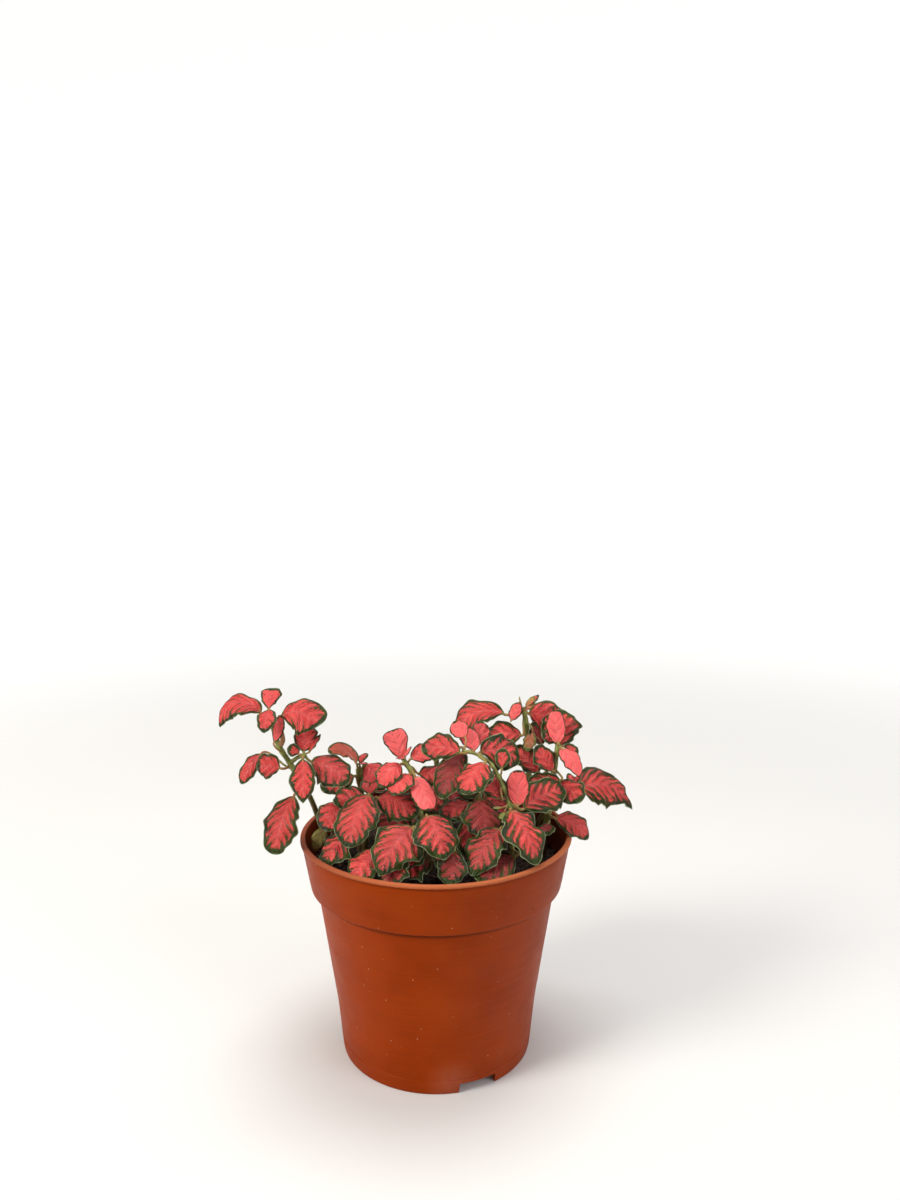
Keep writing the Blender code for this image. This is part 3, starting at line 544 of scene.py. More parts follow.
def stalkTube(shoot, leaf, blade):
    # stalk from the stem to the blade, then on as the rib under the midrib
    sides = leafLook["stalkSides"]
    foot = np.array(leaf["foot"], float)
    start, leave = leafStart(shoot, leaf)
    arrive = direction(leaf["heading"], leaf["pitch"])
    reach = np.linalg.norm(foot - start)
    t = (np.arange(leafLook["stalkRings"]) / leafLook["stalkRings"])[:, None]
    stalk = ((2 * t ** 3 - 3 * t * t + 1) * start + (t ** 3 - 2 * t * t + t) * leave * reach
             + (3 * t * t - 2 * t ** 3) * foot + (t ** 3 - t * t) * arrive * reach)
    u = blade["along"][:, 0]
    keep = [i for i in range(0, len(u), 2) if u[i] < leafLook["ribEnd"]]
    u = u[keep]
    full = leafLook["stalkRadius"] * leaf.get("stalk", 1.0) * min(1.0, math.sqrt(leaf["width"] / 12))
    ribRadius = full * (1 - u) ** 0.8 * 0.75 + 0.06
    midrib = blade["top"][keep, blade["top"].shape[1] // 2]
    centres = np.vstack([stalk, midrib - blade["out"][keep] * (ribRadius * 0.95)[:, None]])
    radii = np.concatenate([full * (1 + 0.45 * np.exp(-t[:, 0] / 0.08)), ribRadius])
    tangent = unit(np.gradient(centres, axis=0))
    across = np.vstack([np.repeat(blade["across"][:1], len(t), 0), blade["across"][keep]])
    across = unit(across - tangent * np.sum(across * tangent, 1, keepdims=True))
    angle = (tau * np.arange(sides) / sides)[None, :, None]
    rings = centres[:, None] + (across[:, None] * np.cos(angle)
                                + np.cross(tangent, across)[:, None] * np.sin(angle)) * radii[:, None, None]
    points = np.vstack([rings.reshape(-1, 3), centres[:1], centres[-1:]])
    stalkShare = np.concatenate([np.linspace(1, 0.75, len(t)), 0.75 * np.clip(1 - u / 0.25, 0, 1)])
    stalkShare = np.concatenate([np.repeat(stalkShare, sides), [1, 0]])
    onBlade = np.concatenate([np.repeat(np.arange(len(centres)) >= len(t), sides), [False, True]])
    return points, tubeFaces(len(centres), sides), stalkShare, onBlade


def leafMesh(shoot, leaf, grid, seed):
    rows, columns = leafLook[grid]
    blade = bladeSurface(leaf, rows, columns, np.random.default_rng(seed))
    tube, tubeQuads, stalkShare, onBlade = stalkTube(shoot, leaf, blade)
    count, tail = (rows + 1) * (columns + 1), len(tube)
    points = np.vstack([blade["top"].reshape(-1, 3), blade["low"].reshape(-1, 3), tube])
    faces = [*gridFaces(rows, columns, 0, False), *gridFaces(rows, columns, count, True),
             *rimFaces(rows, columns, count), *[tuple(index + 2 * count for index in face) for face in tubeQuads]]
    values = {key: np.concatenate([blade[key].ravel()] * 2 + [np.full(tail, onStalk)])
              for key, onStalk in (("vein", 0.0), ("along", 0.0), ("spread", 0.0), ("margin", 3.0))}
    greenFoot = np.maximum(0.8 * np.clip(1 - blade["along"].ravel() / 0.09, 0, 1), leaf.get("bud", 0))
    values["upper"] = np.concatenate([np.ones(count), np.zeros(count), np.where(onBlade, 0.0, 1.0)])
    values["stalk"] = np.concatenate([greenFoot] * 2 + [stalkShare])
    for key, value in (("age", leaf["age"]), ("tone", leaf.get("tone", 1)), ("dull", leaf.get("dull", 0)),
                       ("seed", seed)):
        values[key] = np.full(len(points), float(value))
    uv = np.stack([blade["along"].ravel(), (blade["v"].ravel() + 1) / 2], 1)
    return points, faces, values, np.vstack([uv, uv, np.zeros((tail, 2))])


def joined(parts):
    points, faces, values, uv = zip(*parts)
    bases = np.cumsum([0] + [len(p) for p in points])
    return (np.vstack(points), [tuple(i + base for i in face) for f, base in zip(faces, bases) for face in f],
            {key: np.concatenate([v[key] for v in values]) for key in values[0]}, np.vstack(uv))


def leafMaterial():
    # Living leaf skin, grown not made: a waxy satin face over a raised net of veins, a duller paler
    # underside, and a faint glow where light passes through. Pink runs out along the side veins and
    # green reaches in between them, more on a grown leaf than on a young one.
    material, add, shader, place, look = newMaterial("nerve plant leaf skin", 0.44, {
        "pinkYoung": "#FF6765", "pinkGrown": "#D8423D", "pinkDeep": "#8E1E2A", "pinkDull": "#93403A",
        "veinPale": "#FF9A90", "green": "#32440B", "greenDark": "#172204", "greenLight": "#586C1E",
        "edge": "#A6AD80", "under": "#E08670", "underGreen": "#6F7B4E", "stalk": "#A2774E", "stalkGreen": "#858F45",
        "sizes": (3.2, 5.5, 0.22, 0.9), "cell": 0.85,   # wobble, patch, grain and fray, and the finest net
        # on a young and on a grown leaf: the pink's reach as a share of half the width, how far the green
        # wedges come in, how far the spurs stand out, and the green margin in millimetres
        "reach": (1.03, 0.9), "wedge": (0.2, 0.8), "spur": (0.16, 0.8), "band": (0.45, 1.6),
    })
    vein, along, spread, margin, upper, onStalk, age, dull, tone, seed = [
        add("Attribute." + name).outputs["Fac"]
        for name in ("vein", "along", "spread", "margin", "upper", "stalk", "age", "dull", "tone", "seed")]
    wobble, patch, grain, fray = [add("TexNoise", place, 1 / (size * mm), detail)
                                  for size, detail in zip(look["sizes"], (2, 3, 2, 3))]
    cells = add("TexVoronoi.DISTANCE_TO_EDGE", place, 1 / (look["cell"] * mm))

    # how far a place is from the nearest side vein, 0 on it and 1 midway to the next. The numbers of a MapRange
    # are from and to, then what these two become
    bend = add("MULTIPLY_ADD", wobble, 0.7, -0.35)
    veinLine = add("ADD", vein, bend)
    fromVein = add("MULTIPLY", add("PINGPONG", veinLine, 0.5), 2)
    # each side vein forks in two before the margin
    prong = add("MapRange.SMOOTHSTEP", spread, 0.5, 0.9, 0, 0.24)
    fromProng = add("ABSOLUTE", add("SUBTRACT", fromVein, prong))
    # short spurs that leave the side veins slantwise and fork the pink's outline
    spurLine = add("MULTIPLY_ADD", add("MULTIPLY_ADD", fromVein, -0.55, spread), 4.4, bend)
    spur = add("MULTIPLY_ADD", add("PINGPONG", spurLine, 0.5), -2, 0.5)

    # the pink's outer end: green wedges reach in between the side veins, each to its own depth, and the pink
    # narrows towards the tip of a grown leaf
    grown = add("MapRange", age, 0.1, 0.9)
    reach, wedge, spurSize, band = [add("MapRange", grown, 0, 1, *look[key])
                                    for key in ("reach", "wedge", "spur", "band")]
    finger = add("MULTIPLY_ADD", seed, 7.31, add("FLOOR", veinLine))
    wedge = add("MULTIPLY", wedge, add("MapRange", add("TexWhiteNoise.1D", finger), 0, 1, 0.75, 1.2))
    reach = add("SUBTRACT", reach, add("MULTIPLY", wedge, fromProng))
    reach = add("ADD", reach, add("MULTIPLY", add("MULTIPLY", spur, spurSize), fromVein))
    reach = add("SUBTRACT", reach, add("MULTIPLY", add("MapRange", along, 0.72, 1, 0, 0.6), grown))
    past = add("SUBTRACT", spread, add("MULTIPLY_ADD", fray, 0.6, reach))
    bandEdge = add("ADD", band, add("MULTIPLY_ADD", fray, 1.2, -0.6))
    inBand = add("SUBTRACT", bandEdge, margin)
    green = add("MAXIMUM", add("MapRange.SMOOTHSTEP", past, -0.34, -0.26),
                add("MapRange.SMOOTHSTEP", inBand, -0.12, 0.16))

    # pinks: paler by the veins, deeper between them, with fine streaks that follow the side veins
    pink = add("Mix.RGBA", add("MapRange", age, 0.05, 0.45), look["pinkYoung"], look["pinkGrown"])
    pale = add("MAXIMUM", add("MapRange", fromVein, 0.34, 0, 0, 0.4), add("MapRange", spread, 0.16, 0, 0, 0.3))
    pink = add("Mix.RGBA", add("MULTIPLY", pale, patch), pink, look["veinPale"])
    # leaves in the plant's shade have their pink dulled and darkened as painted shade
    pink = add("Mix.RGBA", dull, pink, look["pinkDull"])
    pink = add("HueSaturation", value=add("MapRange", patch, 0.3, 0.7, 0.86, 1.1), color=pink)
    deep = add("MULTIPLY", add("MapRange", fromVein, 0.3, 1, 0, 0.55), grown)
    pink = add("Mix.RGBA", deep, pink, look["pinkDeep"])
    net = add("CombineXYZ", add("MULTIPLY", veinLine, 5), add("MULTIPLY", spread, 2.2), seed)
    streaks = add("MapRange", add("TexNoise", net, 1, 2), 0.3, 0.7, 0.8, 1.12)
    pink = add("HueSaturation", value=streaks, color=pink)

    # greens, the pale edge as a painted highlight along the margin, the underside and the stalk
    leafGreen = add("Mix.RGBA", add("MapRange", patch, 0.35, 0.68), look["greenDark"], look["green"])
    leafGreen = add("Mix.RGBA", add("MapRange", grain, 0.52, 0.75, 0, 0.45), leafGreen, look["greenLight"])
    skin = add("Mix.RGBA", green, pink, leafGreen)
    # a thin painted highlight along the margin of a grown leaf
    edge = add("MULTIPLY", add("MapRange", margin, 0.4, 0.14, 0, 0.8), grown)
    skin = add("Mix.RGBA", edge, skin, look["edge"])
    under = add("Mix.RGBA", 0.35, add("Mix.RGBA", green, look["under"], look["underGreen"]), skin)
    skin = add("Mix.RGBA", upper, under, skin)
    stalk = add("Mix.RGBA", add("MapRange", patch, 0.34, 0.56), look["stalk"], look["stalkGreen"])
    # each leaf's brightness factor: painted light above 1, painted shade below 1
    skin = add("HueSaturation", value=tone, color=add("Mix.RGBA", onStalk, skin, stalk))

    # relief: side veins sunk a little, small cells puffed between the finest veins
    relief = add("MULTIPLY_ADD", add("MapRange.SMOOTHSTEP", cells, 0, 0.16), 0.45,
                 add("MapRange.SMOOTHSTEP", fromVein, 0, 0.28))
    relief = add("MULTIPLY", add("MULTIPLY_ADD", grain, 0.25, relief), upper)
    fill(shader, baseColor=skin, normal=add("Bump", strength=1, distance=0.26 * mm, height=relief),
         roughness=add("MapRange", grain, 0.3, 0.7, 0.27, 0.46), specularIorLevel=0.3,
         subsurfaceWeight=0.12, subsurfaceRadius=(1.0, 0.35, 0.2), subsurfaceScale=1.2 * mm)
    return material


leafSkin = leafMaterial()
grownLeaves = 0
for key, shoot in shoots.items():
    title = key[0].upper() + key[1:]
    for number, leaf in enumerate(shoot["leaves"], 1):
        grownLeaves += 1
        points, faces, values, uv = leafMesh(shoot, leaf, "grid", grownLeaves)
        piece = newPiece(f"leaf{title}{number}", points, faces, leafSkin, values, uv)
        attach(piece, "root")
        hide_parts(f"leaf{nodeEnd(key)}_{number}")
    for label, group, grid, slot in (("youngLeaves", "young", "youngGrid", "leaf_young"),
                                     ("innerLeaves", "inner", "grid", "leaf_grown")):
        if shoot[group]:
            points, faces, values, uv = joined([leafMesh(shoot, leaf, grid, grownLeaves + i)
                                                for i, leaf in enumerate(shoot[group], 1)])
            grownLeaves += len(shoot[group])
            piece = newPiece(label + title, points, faces, leafSkin, values, uv)
            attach(piece, "root")
print("leaves:", grownLeaves)


# Stems

stemLook = {
    "steps": 10,             # sections between two points of a route
    "sides": 12,
    "thickness": 0.76,       # the seen stem as a share of the CAD one
    "nodeSwell": 0.22,       # how much thicker the stem is where leaves leave it
    "nodeLength": 1.5,
    "branchStart": 0.75,     # how far up its colours a side branch starts
    "hairLength": 0.55, "hairRadius": 0.03, "hairDensity": 1.1,   # hairs a square mm
}


def stemMaterial():
    # Herbaceous stem, grown: matt and softly hairy, brown and corky by the soil, olive above, with pale
    # yellow-green joints where the leaves leave it
    material, add, shader, place, look = newMaterial("nerve plant stem", 0.55, {
        "foot": "#6E573A", "brown": "#5F4A26", "olive": "#565B1C", "tip": "#7E8038", "blush": "#8A5538",
        "joint": "#8E964A", "patch": 3.0, "streak": 0.5})
    share, joint = [add("Attribute." + name).outputs["Fac"] for name in ("share", "joint")]
    patch = add("TexNoise", place, 1 / (look["patch"] * mm), 3)
    streak = add("TexNoise", add("Mapping", place, scale=(1, 1, 0.16)), 1 / (look["streak"] * mm), 2)
    skin = look["foot"]
    for name, coat in (("brown", add("MapRange", share, 0, 0.35)), ("olive", add("MapRange", share, 0.25, 0.7)),
                       ("tip", add("MapRange", share, 0.8, 1, 0, 0.7)),
                       ("blush", add("MapRange", patch, 0.5, 0.66, 0, 0.6)), ("joint", joint)):
        skin = add("Mix.RGBA", coat, skin, look[name])
    skin = add("HueSaturation", value=add("MapRange", streak, 0.3, 0.7, 0.82, 1.15), color=skin)
    fill(shader, baseColor=skin, normal=add("Bump", strength=0.5, distance=0.12 * mm, height=streak),
         subsurfaceWeight=0.08, subsurfaceRadius=(0.6, 0.5, 0.2), subsurfaceScale=1.0 * mm)
    return material


def stemTree():
    # a tube along each route, its thickness read from the route's points, with fine hairs on it
    tree, add, given = newTree("hairyStem", {"Sides": "Int", "Hair length": "Float", "Hair radius": "Float",
                                             "Hair density": "Float", "Seed": "Int", "Material": "Material"})
    ring = add("CurvePrimitiveCircle", given["Sides"], 1)
    tube = add("CurveToMesh", add("MeshToCurve", given["Geometry"]), ring, add("InputNamedAttribute", "radius"), True)
    spots = add("DistributePointsOnFaces", tube, density=given["Hair density"], seed=given["Seed"])
    hair = add("MeshCone", 3, radiusTop=0, radiusBottom=given["Hair radius"], depth=given["Hair length"])
    length = add("RandomValue", 0.4, 1.2, seed=given["Seed"])
    hairs = add("InstanceOnPoints", spots, instance=hair, rotation=spots.outputs["Rotation"], scale=length)
    both = fill(add("JoinGeometry", add("SetShadeSmooth", tube)), hairs)
    add("NodeGroupOutput", add("SetMaterial", add("RealizeInstances", both), material=given["Material"]))
    return tree


def stemRoute(points, firstRadius, lastRadius, joints, startShare):
    # points of one stem, its radius at each, how near each is to a joint, and its share of the way up
    curve = smoothRoute(points, stemLook["steps"])
    lengths = np.concatenate([[0], np.cumsum(np.linalg.norm(np.diff(curve, axis=0), axis=1))])
    along = np.arange(len(curve)) / (len(curve) - 1)
    gaps = [lengths - np.interp(place, along, lengths) for place in joints]
    glow = np.max([np.exp(-(gap / stemLook["nodeLength"]) ** 2) for gap in gaps], 0)
    radii = (firstRadius + (lastRadius - firstRadius) * along) * stemLook["thickness"]
    radii = radii * (1 + stemLook["nodeSwell"] * glow)
    lastRadius = lastRadius * stemLook["thickness"]
    end = unit(curve[-1] - curve[-2]) * lastRadius    # two more points round the tip off
    return (np.vstack([curve, curve[-1] + end * 0.7, curve[-1] + end * 1.3]),
            np.concatenate([radii, [lastRadius * 0.75, lastRadius * 0.25]]), np.concatenate([glow, [0.6, 0.6]]),
            startShare + (1 - startShare) * np.concatenate([along, [1, 1]]))


def makeStem(name, shoot, tree, material, seed):
    first, last = [radius * shoot.get("slim", 1) for radius in shoot["radii"]]
    joints = [leaf["place"] for group in ("leaves", "young", "inner") for leaf in shoot[group] if leaf["place"] <= 1]
    routes = [stemRoute(shoot["route"], first, last, joints, 0)]
    if "branch" in shoot:
        routes.append(stemRoute(shoot["branch"], last, last * 0.9, [1.0], stemLook["branchStart"]))
    points, radii, glow, share = [np.concatenate(part) for part in zip(*routes)]
    ends = np.cumsum([len(route[0]) for route in routes])
    edges = [(i, i + 1) for i in range(len(points) - 1) if i + 1 not in ends]
    piece = newPiece(name, points, [], values={"radius": radii * mm, "joint": glow, "share": share}, edges=edges)
    return remade(piece, tree, {"Sides": stemLook["sides"], "Hair length": stemLook["hairLength"] * mm,
                                "Hair radius": stemLook["hairRadius"] * mm, "Seed": seed, "Material": material,
                                "Hair density": stemLook["hairDensity"] / mm ** 2})


stemSkin = stemMaterial()
stemGrower = stemTree()
for number, (key, shoot) in enumerate(shoots.items()):
    piece = makeStem("stem" + key[0].upper() + key[1:], shoot, stemGrower, stemSkin, number)
    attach(piece, "root")
    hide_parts("stem" + nodeEnd(key))
print("stems:", len(shoots))


# Pot

potLook = {
    "sides": 160,
    "rimRadius": 52.5, "rimHeight": 86.0, "lipWidth": 2.0, "lipDepth": 2.0,
    "collarFoot": (48.9, 66.5), "neck": (46.3, 65.7), "waist": (39.1, 19.5), "footRadius": 37.1,
    "wall": 1.2, "cornerRise": 1.2, "floorHeight": 4.0, "floorThickness": 1.2, "footRing": 2.2,
    "lipWave": 0.3,          # how far the thin rim sways in and out of round
    "lineHeight": 5.7,       # height of the fine moulded line round the foot
    "notch": (15.5, 3.8), "notchAngles": (-65.0, 55.0, 175.0), "notchTaper": 0.93,
    "drainHole": 1.8, "drainCircle": 24.0, "drainHoles": 8,
}


def potProfile(look):
    # radius and height pairs, from the foot's middle outwards, up the outside, over the lip and down inside
    rim, top, foot, wall = look["rimRadius"], look["rimHeight"], look["footRadius"], look["wall"]
    neck, neckHeight = look["neck"]
    collar, collarHeight = look["collarFoot"]
    waist, waistHeight = look["waist"]
    floor, line = look["floorHeight"], look["lineHeight"]
    floorTop = floor + look["floorThickness"]
    under, inner, ring = top - look["lipDepth"], rim - look["lipWidth"], foot - look["footRing"]

    def wallAt(height):
        return float(np.interp(height, (0, waistHeight, neckHeight), (foot, waist, neck)))

    # floor, foot ring, the wall with its line, then a small ledge under the collar, tight in its inner corner,
    # and the collar's own foot softly rounded
    profile = [(0, floor), (12, floor), (22, floor), (ring - 0.4, floor), (ring, floor - 0.4), (ring, 0.3),
               (ring + 0.3, 0), (foot - 0.7, 0), (foot - 0.35, 0.08), (foot - 0.1, 0.3), (foot, 0.7)]
    profile += [(wallAt(h) + d, h) for h, d in ((2.0, 0), (line - 0.9, 0), (line - 0.3, 0.02), (line, -0.22),
                                                (line + 0.3, 0.02), (line + 0.9, 0))]
    profile += [(wallAt(h), h) for h in [*np.linspace(10, neckHeight - 2.5, 16), neckHeight - 1.2]]
    profile += [(wallAt(neckHeight) - 0.05, neckHeight - 0.3), (neck + 0.12, neckHeight),
                (neck + 0.9, neckHeight + 0.2)]
    profile += [(collar + d, collarHeight + h) for d, h in ((-0.9, -0.24), (-0.42, -0.06), (-0.12, 0.22), (0, 0.62),
                                                            (0.15, 1.5))]
    profile += between((collar, collarHeight), (rim - 0.6, under), (0.2, 0.35, 0.5, 0.65, 0.8, 0.96))
    # lip
    profile += [(rim + d, under + h) for d, h in ((-0.75, 0.1), (-0.8, 0.4), (-0.15, 0.55), (0, 0.75))]
    profile += [(rim + d, top + h) for d, h in ((0, -0.5), (-0.1, -0.2), (-0.3, -0.04), (-0.6, 0))]
    profile += [(inner + d, top + h) for d, h in ((0.5, 0), (0.15, -0.12), (0, -0.5))]
    # inside, down to the floor
    corners = [(inner - 0.1, under - 0.4), (collar - wall, collarHeight + look["cornerRise"]),
               (neck - wall, neckHeight + look["cornerRise"]), (waist - wall, waistHeight),
               (wallAt(floorTop) - wall, floorTop)]
    profile.append(corners[0])
    for start, end in zip(corners, corners[1:]):
        profile += between(start, end, (0.25, 0.5, 0.75, 1))
    return profile + [(22, floorTop), (12, floorTop), (0, floorTop)]


def potTree():
    # turns a profile round the upright axis and lets the rim sway a little
    tree, add, given = newTree("turnedPot", {"Sides": "Int", "Rows": "Int", "Lip wave": "Float",
                                             "Rim height": "Float", "Material": "Material"})
    rounds = add("ADD", given["Sides"], 1)
    sheet = add("MeshGrid", 1, 1, given["Rows"], rounds)
    index = add("InputIndex")
    row = add("FLOOR", add("DIVIDE", index, rounds))
    turn = add("MULTIPLY", add("DIVIDE", add("MODULO", index, rounds), given["Sides"]), tau)
    profile = add("SampleIndex.FLOAT_VECTOR", given["Geometry"], add("InputPosition"), row)
    radius, _, height = add("SeparateXYZ", profile).outputs
    sway = add("SINE", add("MULTIPLY_ADD", turn, 2, 0.6))
    sway = add("MULTIPLY_ADD", add("SINE", add("MULTIPLY_ADD", turn, 5, 1.9)), 0.45, sway)
    nearRim = add("POWER", add("DIVIDE", height, given["Rim height"]), 6)
    sway = add("MULTIPLY", add("MULTIPLY", sway, nearRim), given["Lip wave"])
    reach = add("MULTIPLY", add("ADD", radius, sway), add("GREATER_THAN", radius, 1e-5))
    x, y = [add("MULTIPLY", reach, add(part, turn)) for part in ("COSINE", "SINE")]
    turned = add("SetPosition", sheet, position=add("CombineXYZ", x, y, height))
    smooth = add("SetShadeSmooth", add("MergeByDistance", turned, distance=1e-6))
    add("NodeGroupOutput", add("SetMaterial", add("RealizeInstances", smooth), material=given["Material"]))
    return tree


def potMaterial():
    # Injection-moulded polypropylene in terracotta brown: satin, with faint rings from the mould, pale stress scuffs
    # under the collar and hairline scratches, and with painted light: a greyer painted sheen on the +X side, a
    # painted highlight along the lip, and painted shade under the collar and the lip, on the lip's -X side and deeper
    # inside
    material, add, shader, place, look = newMaterial("terracotta polypropylene, moulded", 0.42, {
        "body": "#923607", "deep": "#812B03", "bloom": "#823A24", "scuff": "#B8704C", "dust": "#C9A48C",
        # corner is the colour of the painted shade under the collar and the lip
        "inner": "#46200F", "lip": "#B66842", "lipWorn": "#8A4B34", "corner": "#431604", "smudge": "#A5654F",
        "ring": 0.9, "cloud": 22, "haze": 9, "wear": 0.8, "orangePeel": 0.5,
        # size, distance of a mark's edge from its centre, softness, strength, and how few there are
        "flecks": (3.6, 0.08, 0.04, 0.5, 0.68), "scratches": (2.4, 0.07, 0.03, 0.35, 0.6),
        # painted shade under the collar and the lip: height where it starts, is full and stops, and its strength
        "dirt": ((64.0, 65.5, 66.35, 0.95), (84.1, 84.6, 84.9, 0.5)),
        "smudgePlace": (6, -37, 5)})
    x, _, z = add("SeparateXYZ", place).outputs
    cloud, haze, wear = [add("TexNoise", place, 1 / (look[key] * mm), detail, roughness)
                         for key, detail, roughness in (("cloud", 3, 0.5), ("haze", 5, 0.6), ("wear", 4, 0.5))]
    # painted sheen: a cloudy, greyer painted reflection on the +X side
    bloom = add("MULTIPLY", add("MapRange", haze, 0.38, 0.72, 0.25, 0.85), add("MapRange", x, -5 * mm, 45 * mm))
    # sparse pale flecks and short scratches
    turned = add("Mapping", place, rotation=(0.5, 0.4, 0.3), scale=(1, 0.8, 0.85))
    slant = add("Mapping.TEXTURE", place, rotation=(0.2, -1.15, 0), scale=(1, 1, 9))
    marks = []
    for vector, (size, far, near, strength, rarity) in ((turned, look["flecks"]), (slant, look["scratches"])):
        spot = add("TexVoronoi", vector, 1 / (size * mm))
        keep = add("GREATER_THAN", spot.outputs["Color"], rarity)
        marks.append(add("MULTIPLY", add("MapRange", spot, far, near, 0, strength), keep))
    # the lip is paler, unevenly, partly rubbed and partly a painted highlight along its top, and darker on the -X
    # side as painted shade
    lipWearAndHighlight = add("MapRange", add("MULTIPLY_ADD", wear, 0.6 * mm, z), 85.1 * mm, 85.6 * mm, 0, 0.75)
    lip = add("Mix.RGBA", add("MapRange", x, -15 * mm, -48 * mm), look["lip"], look["lipWorn"])
    # the inside is stained by the soil and by watering, and made darker deeper down with painted shade
    inward = add("VectorMath.DOT_PRODUCT", add("NewGeometry").outputs["Normal"], place)
    stainAndShade = add("MULTIPLY", add("MapRange", z, 85 * mm, 79 * mm, 0.25, 0.85),
                add("MapRange", inward, -20 * mm, -32 * mm))
    # painted shade: a dark band in the corner under the collar's ledge, and a thinner one under the lip
    dirt = [add("MULTIPLY", add("MapRange", z, start * mm, full * mm, 0, strength),
                add("LESS_THAN", z, stop * mm)) for start, full, stop, strength in look["dirt"]]
    # a dry smudge by one notch
    away = add("VectorMath.DISTANCE", place, tuple(value * mm for value in look["smudgePlace"]))
    smudge = add("MULTIPLY", add("MapRange", away, 10 * mm, 3 * mm, 0, 0.45), haze)

    skin = add("Mix.RGBA", add("MapRange", cloud, 0.25, 0.75), look["deep"], look["body"])
    for coat, shade in ((bloom, look["bloom"]), (add("MAXIMUM", *marks), look["dust"]),
                        (add("MapRange", wear, 0.66, 0.78, 0, 0.3), look["scuff"]), (lipWearAndHighlight, lip),
                        (stainAndShade, look["inner"]), (dirt[0], look["corner"]), (dirt[1], look["corner"]),
                        (smudge, look["smudge"])):
        skin = add("Mix.RGBA", coat, skin, shade)
    rings = add("TexNoise", add("Mapping", place, scale=(0.02, 0.02, 1)), 1 / (look["ring"] * mm), 3)
    skin = add("HueSaturation", value=add("MapRange", rings, 0.3, 0.7, 0.95, 1.05), color=skin)
    peel = add("TexNoise", place, 1 / (look["orangePeel"] * mm), 1)
    relief = add("MULTIPLY_ADD", peel, 0.35, rings)
    fill(shader, baseColor=skin, normal=add("Bump", strength=0.25, distance=0.08 * mm, height=relief),
         roughness=add("MapRange", haze, 0.3, 0.7, 0.36, 0.52), ior=1.49, specularIorLevel=0.08,
         specularTint=linear("#FFC8A0"), subsurfaceWeight=0.05, subsurfaceScale=1.0 * mm)
    return material


def cut(piece, tool):
    # exact Boolean, so that the cut's edges stay crisp and the wall stays closed
    carve = piece.modifiers.new("carve", "BOOLEAN")
    carve.object = tool
    carve.operation = "DIFFERENCE"
    carve.solver = "EXACT"
    frozen(piece)
    bpy.data.objects.remove(tool)


def potTool(look):
    # blocks for the notches in the foot ring and rods for the drain holes
    tool = bmesh.new()
    width, height = look["notch"]
    for angle in look["notchAngles"]:
        block = bmesh.ops.create_cube(tool, size=1.0)["verts"]
        for corner in block:                 # the notch narrows a little towards its top
            taper = 1.0 if corner.co.z < 0 else look["notchTaper"]
            corner.co = Vector((corner.co.x * 12, corner.co.y * width * taper, corner.co.z * 2 * height)) * mm
            corner.co.x += look["footRadius"] * mm
        bmesh.ops.rotate(tool, cent=(0, 0, 0), matrix=Matrix.Rotation(math.radians(angle), 3, "Z"), verts=block)
    radius = look["drainHole"] * mm
    for i in range(look["drainHoles"]):
        angle = tau * (i + 0.5) / look["drainHoles"]
        rod = bmesh.ops.create_cone(tool, cap_ends=True, segments=20, depth=4 * mm, radius1=radius, radius2=radius)
        at = Vector((math.cos(angle) * look["drainCircle"], math.sin(angle) * look["drainCircle"],
                     look["floorHeight"] + look["floorThickness"] / 2)) * mm
        bmesh.ops.translate(tool, vec=at, verts=rod["verts"])
    bmesh.ops.recalc_face_normals(tool, faces=tool.faces)
    mesh = bpy.data.meshes.new("potTool")
    tool.to_mesh(mesh)
    tool.free()
    return newObject("potTool", mesh)


def makePot(look):
    profile = potProfile(look)
    material = potMaterial()
    pot = remade(newPiece("potShell", [(r, 0, z) for r, z in profile], []), potTree(), {
        "Sides": look["sides"], "Rows": len(profile), "Lip wave": look["lipWave"] * mm,
        "Rim height": look["rimHeight"] * mm, "Material": material})
    body = bmesh.new()
    body.from_mesh(pot.data)
    if body.calc_volume(signed=True) < 0:
        bmesh.ops.reverse_faces(body, faces=body.faces)
    body.to_mesh(pot.data)
    body.free()
    cut(pot, potTool(look))
    pot.data.materials.clear()
    pot.data.materials.append(material)
    pot.data.polygons.foreach_set("material_index", [0] * len(pot.data.polygons))
    pot.data.shade_smooth()
    pot.data.set_sharp_from_angle(angle=math.radians(38))
    return pot


pot = makePot(potLook)
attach(pot, "root")
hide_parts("pot")
print("pot:", len(pot.data.polygons), "faces")


# Potting soil

soilLook = {
    "edgeHeight": 72.5, "mound": 2.0, "gap": 0.3, "rings": 64, "sides": 180,
    "waves": ((0.3, 0.16, 0.09, 1.0), (0.25, 0.07, -0.19, 0.0), (0.2, -0.12, 0.14, 2.0)),
    "lump": 0.9, "lumpSize": 4.5, "grain": 0.35, "grainSize": 1.2,   # heights and sizes of its unevenness
    "crumb": 1.4, "fine": 0.35,                                      # sizes of its patterns
    "scatterAbove": 60, "unevenSize": 1.3,   # only the bed's top gets crumbs, and the size of a crumb's bumps
    # what lies on it: material, seed, detail, pieces a square mm, least and most size, shape, unevenness, sink
    "scatter": {
        "soilCrumbs": ("dark", 3, 1, 0.42, (0.35, 0.95), (1.0, 0.8, 0.65), 0.7, 0.0),
        "soilLumps": ("dark", 5, 2, 0.05, (1.0, 1.9), (1.0, 0.75, 0.6), 1.6, 0.3),
        "soilChips": ("pale", 8, 1, 0.012, (0.5, 1.3), (1.0, 0.5, 0.25), 0.5, -0.2),
        "soilFibres": ("pale", 11, 1, 0.02, (1.2, 3.0), (1.0, 0.07, 0.07), 0.8, -0.3),
    },
}


def soilHeight(x, y, look):
    mound = look["mound"] * (1 - (x * x + y * y) / potLook["rimRadius"] ** 2)
    waves = sum(h * np.sin(x * a + y * b + c) for h, a, b, c in look["waves"])
    return look["edgeHeight"] + mound + waves


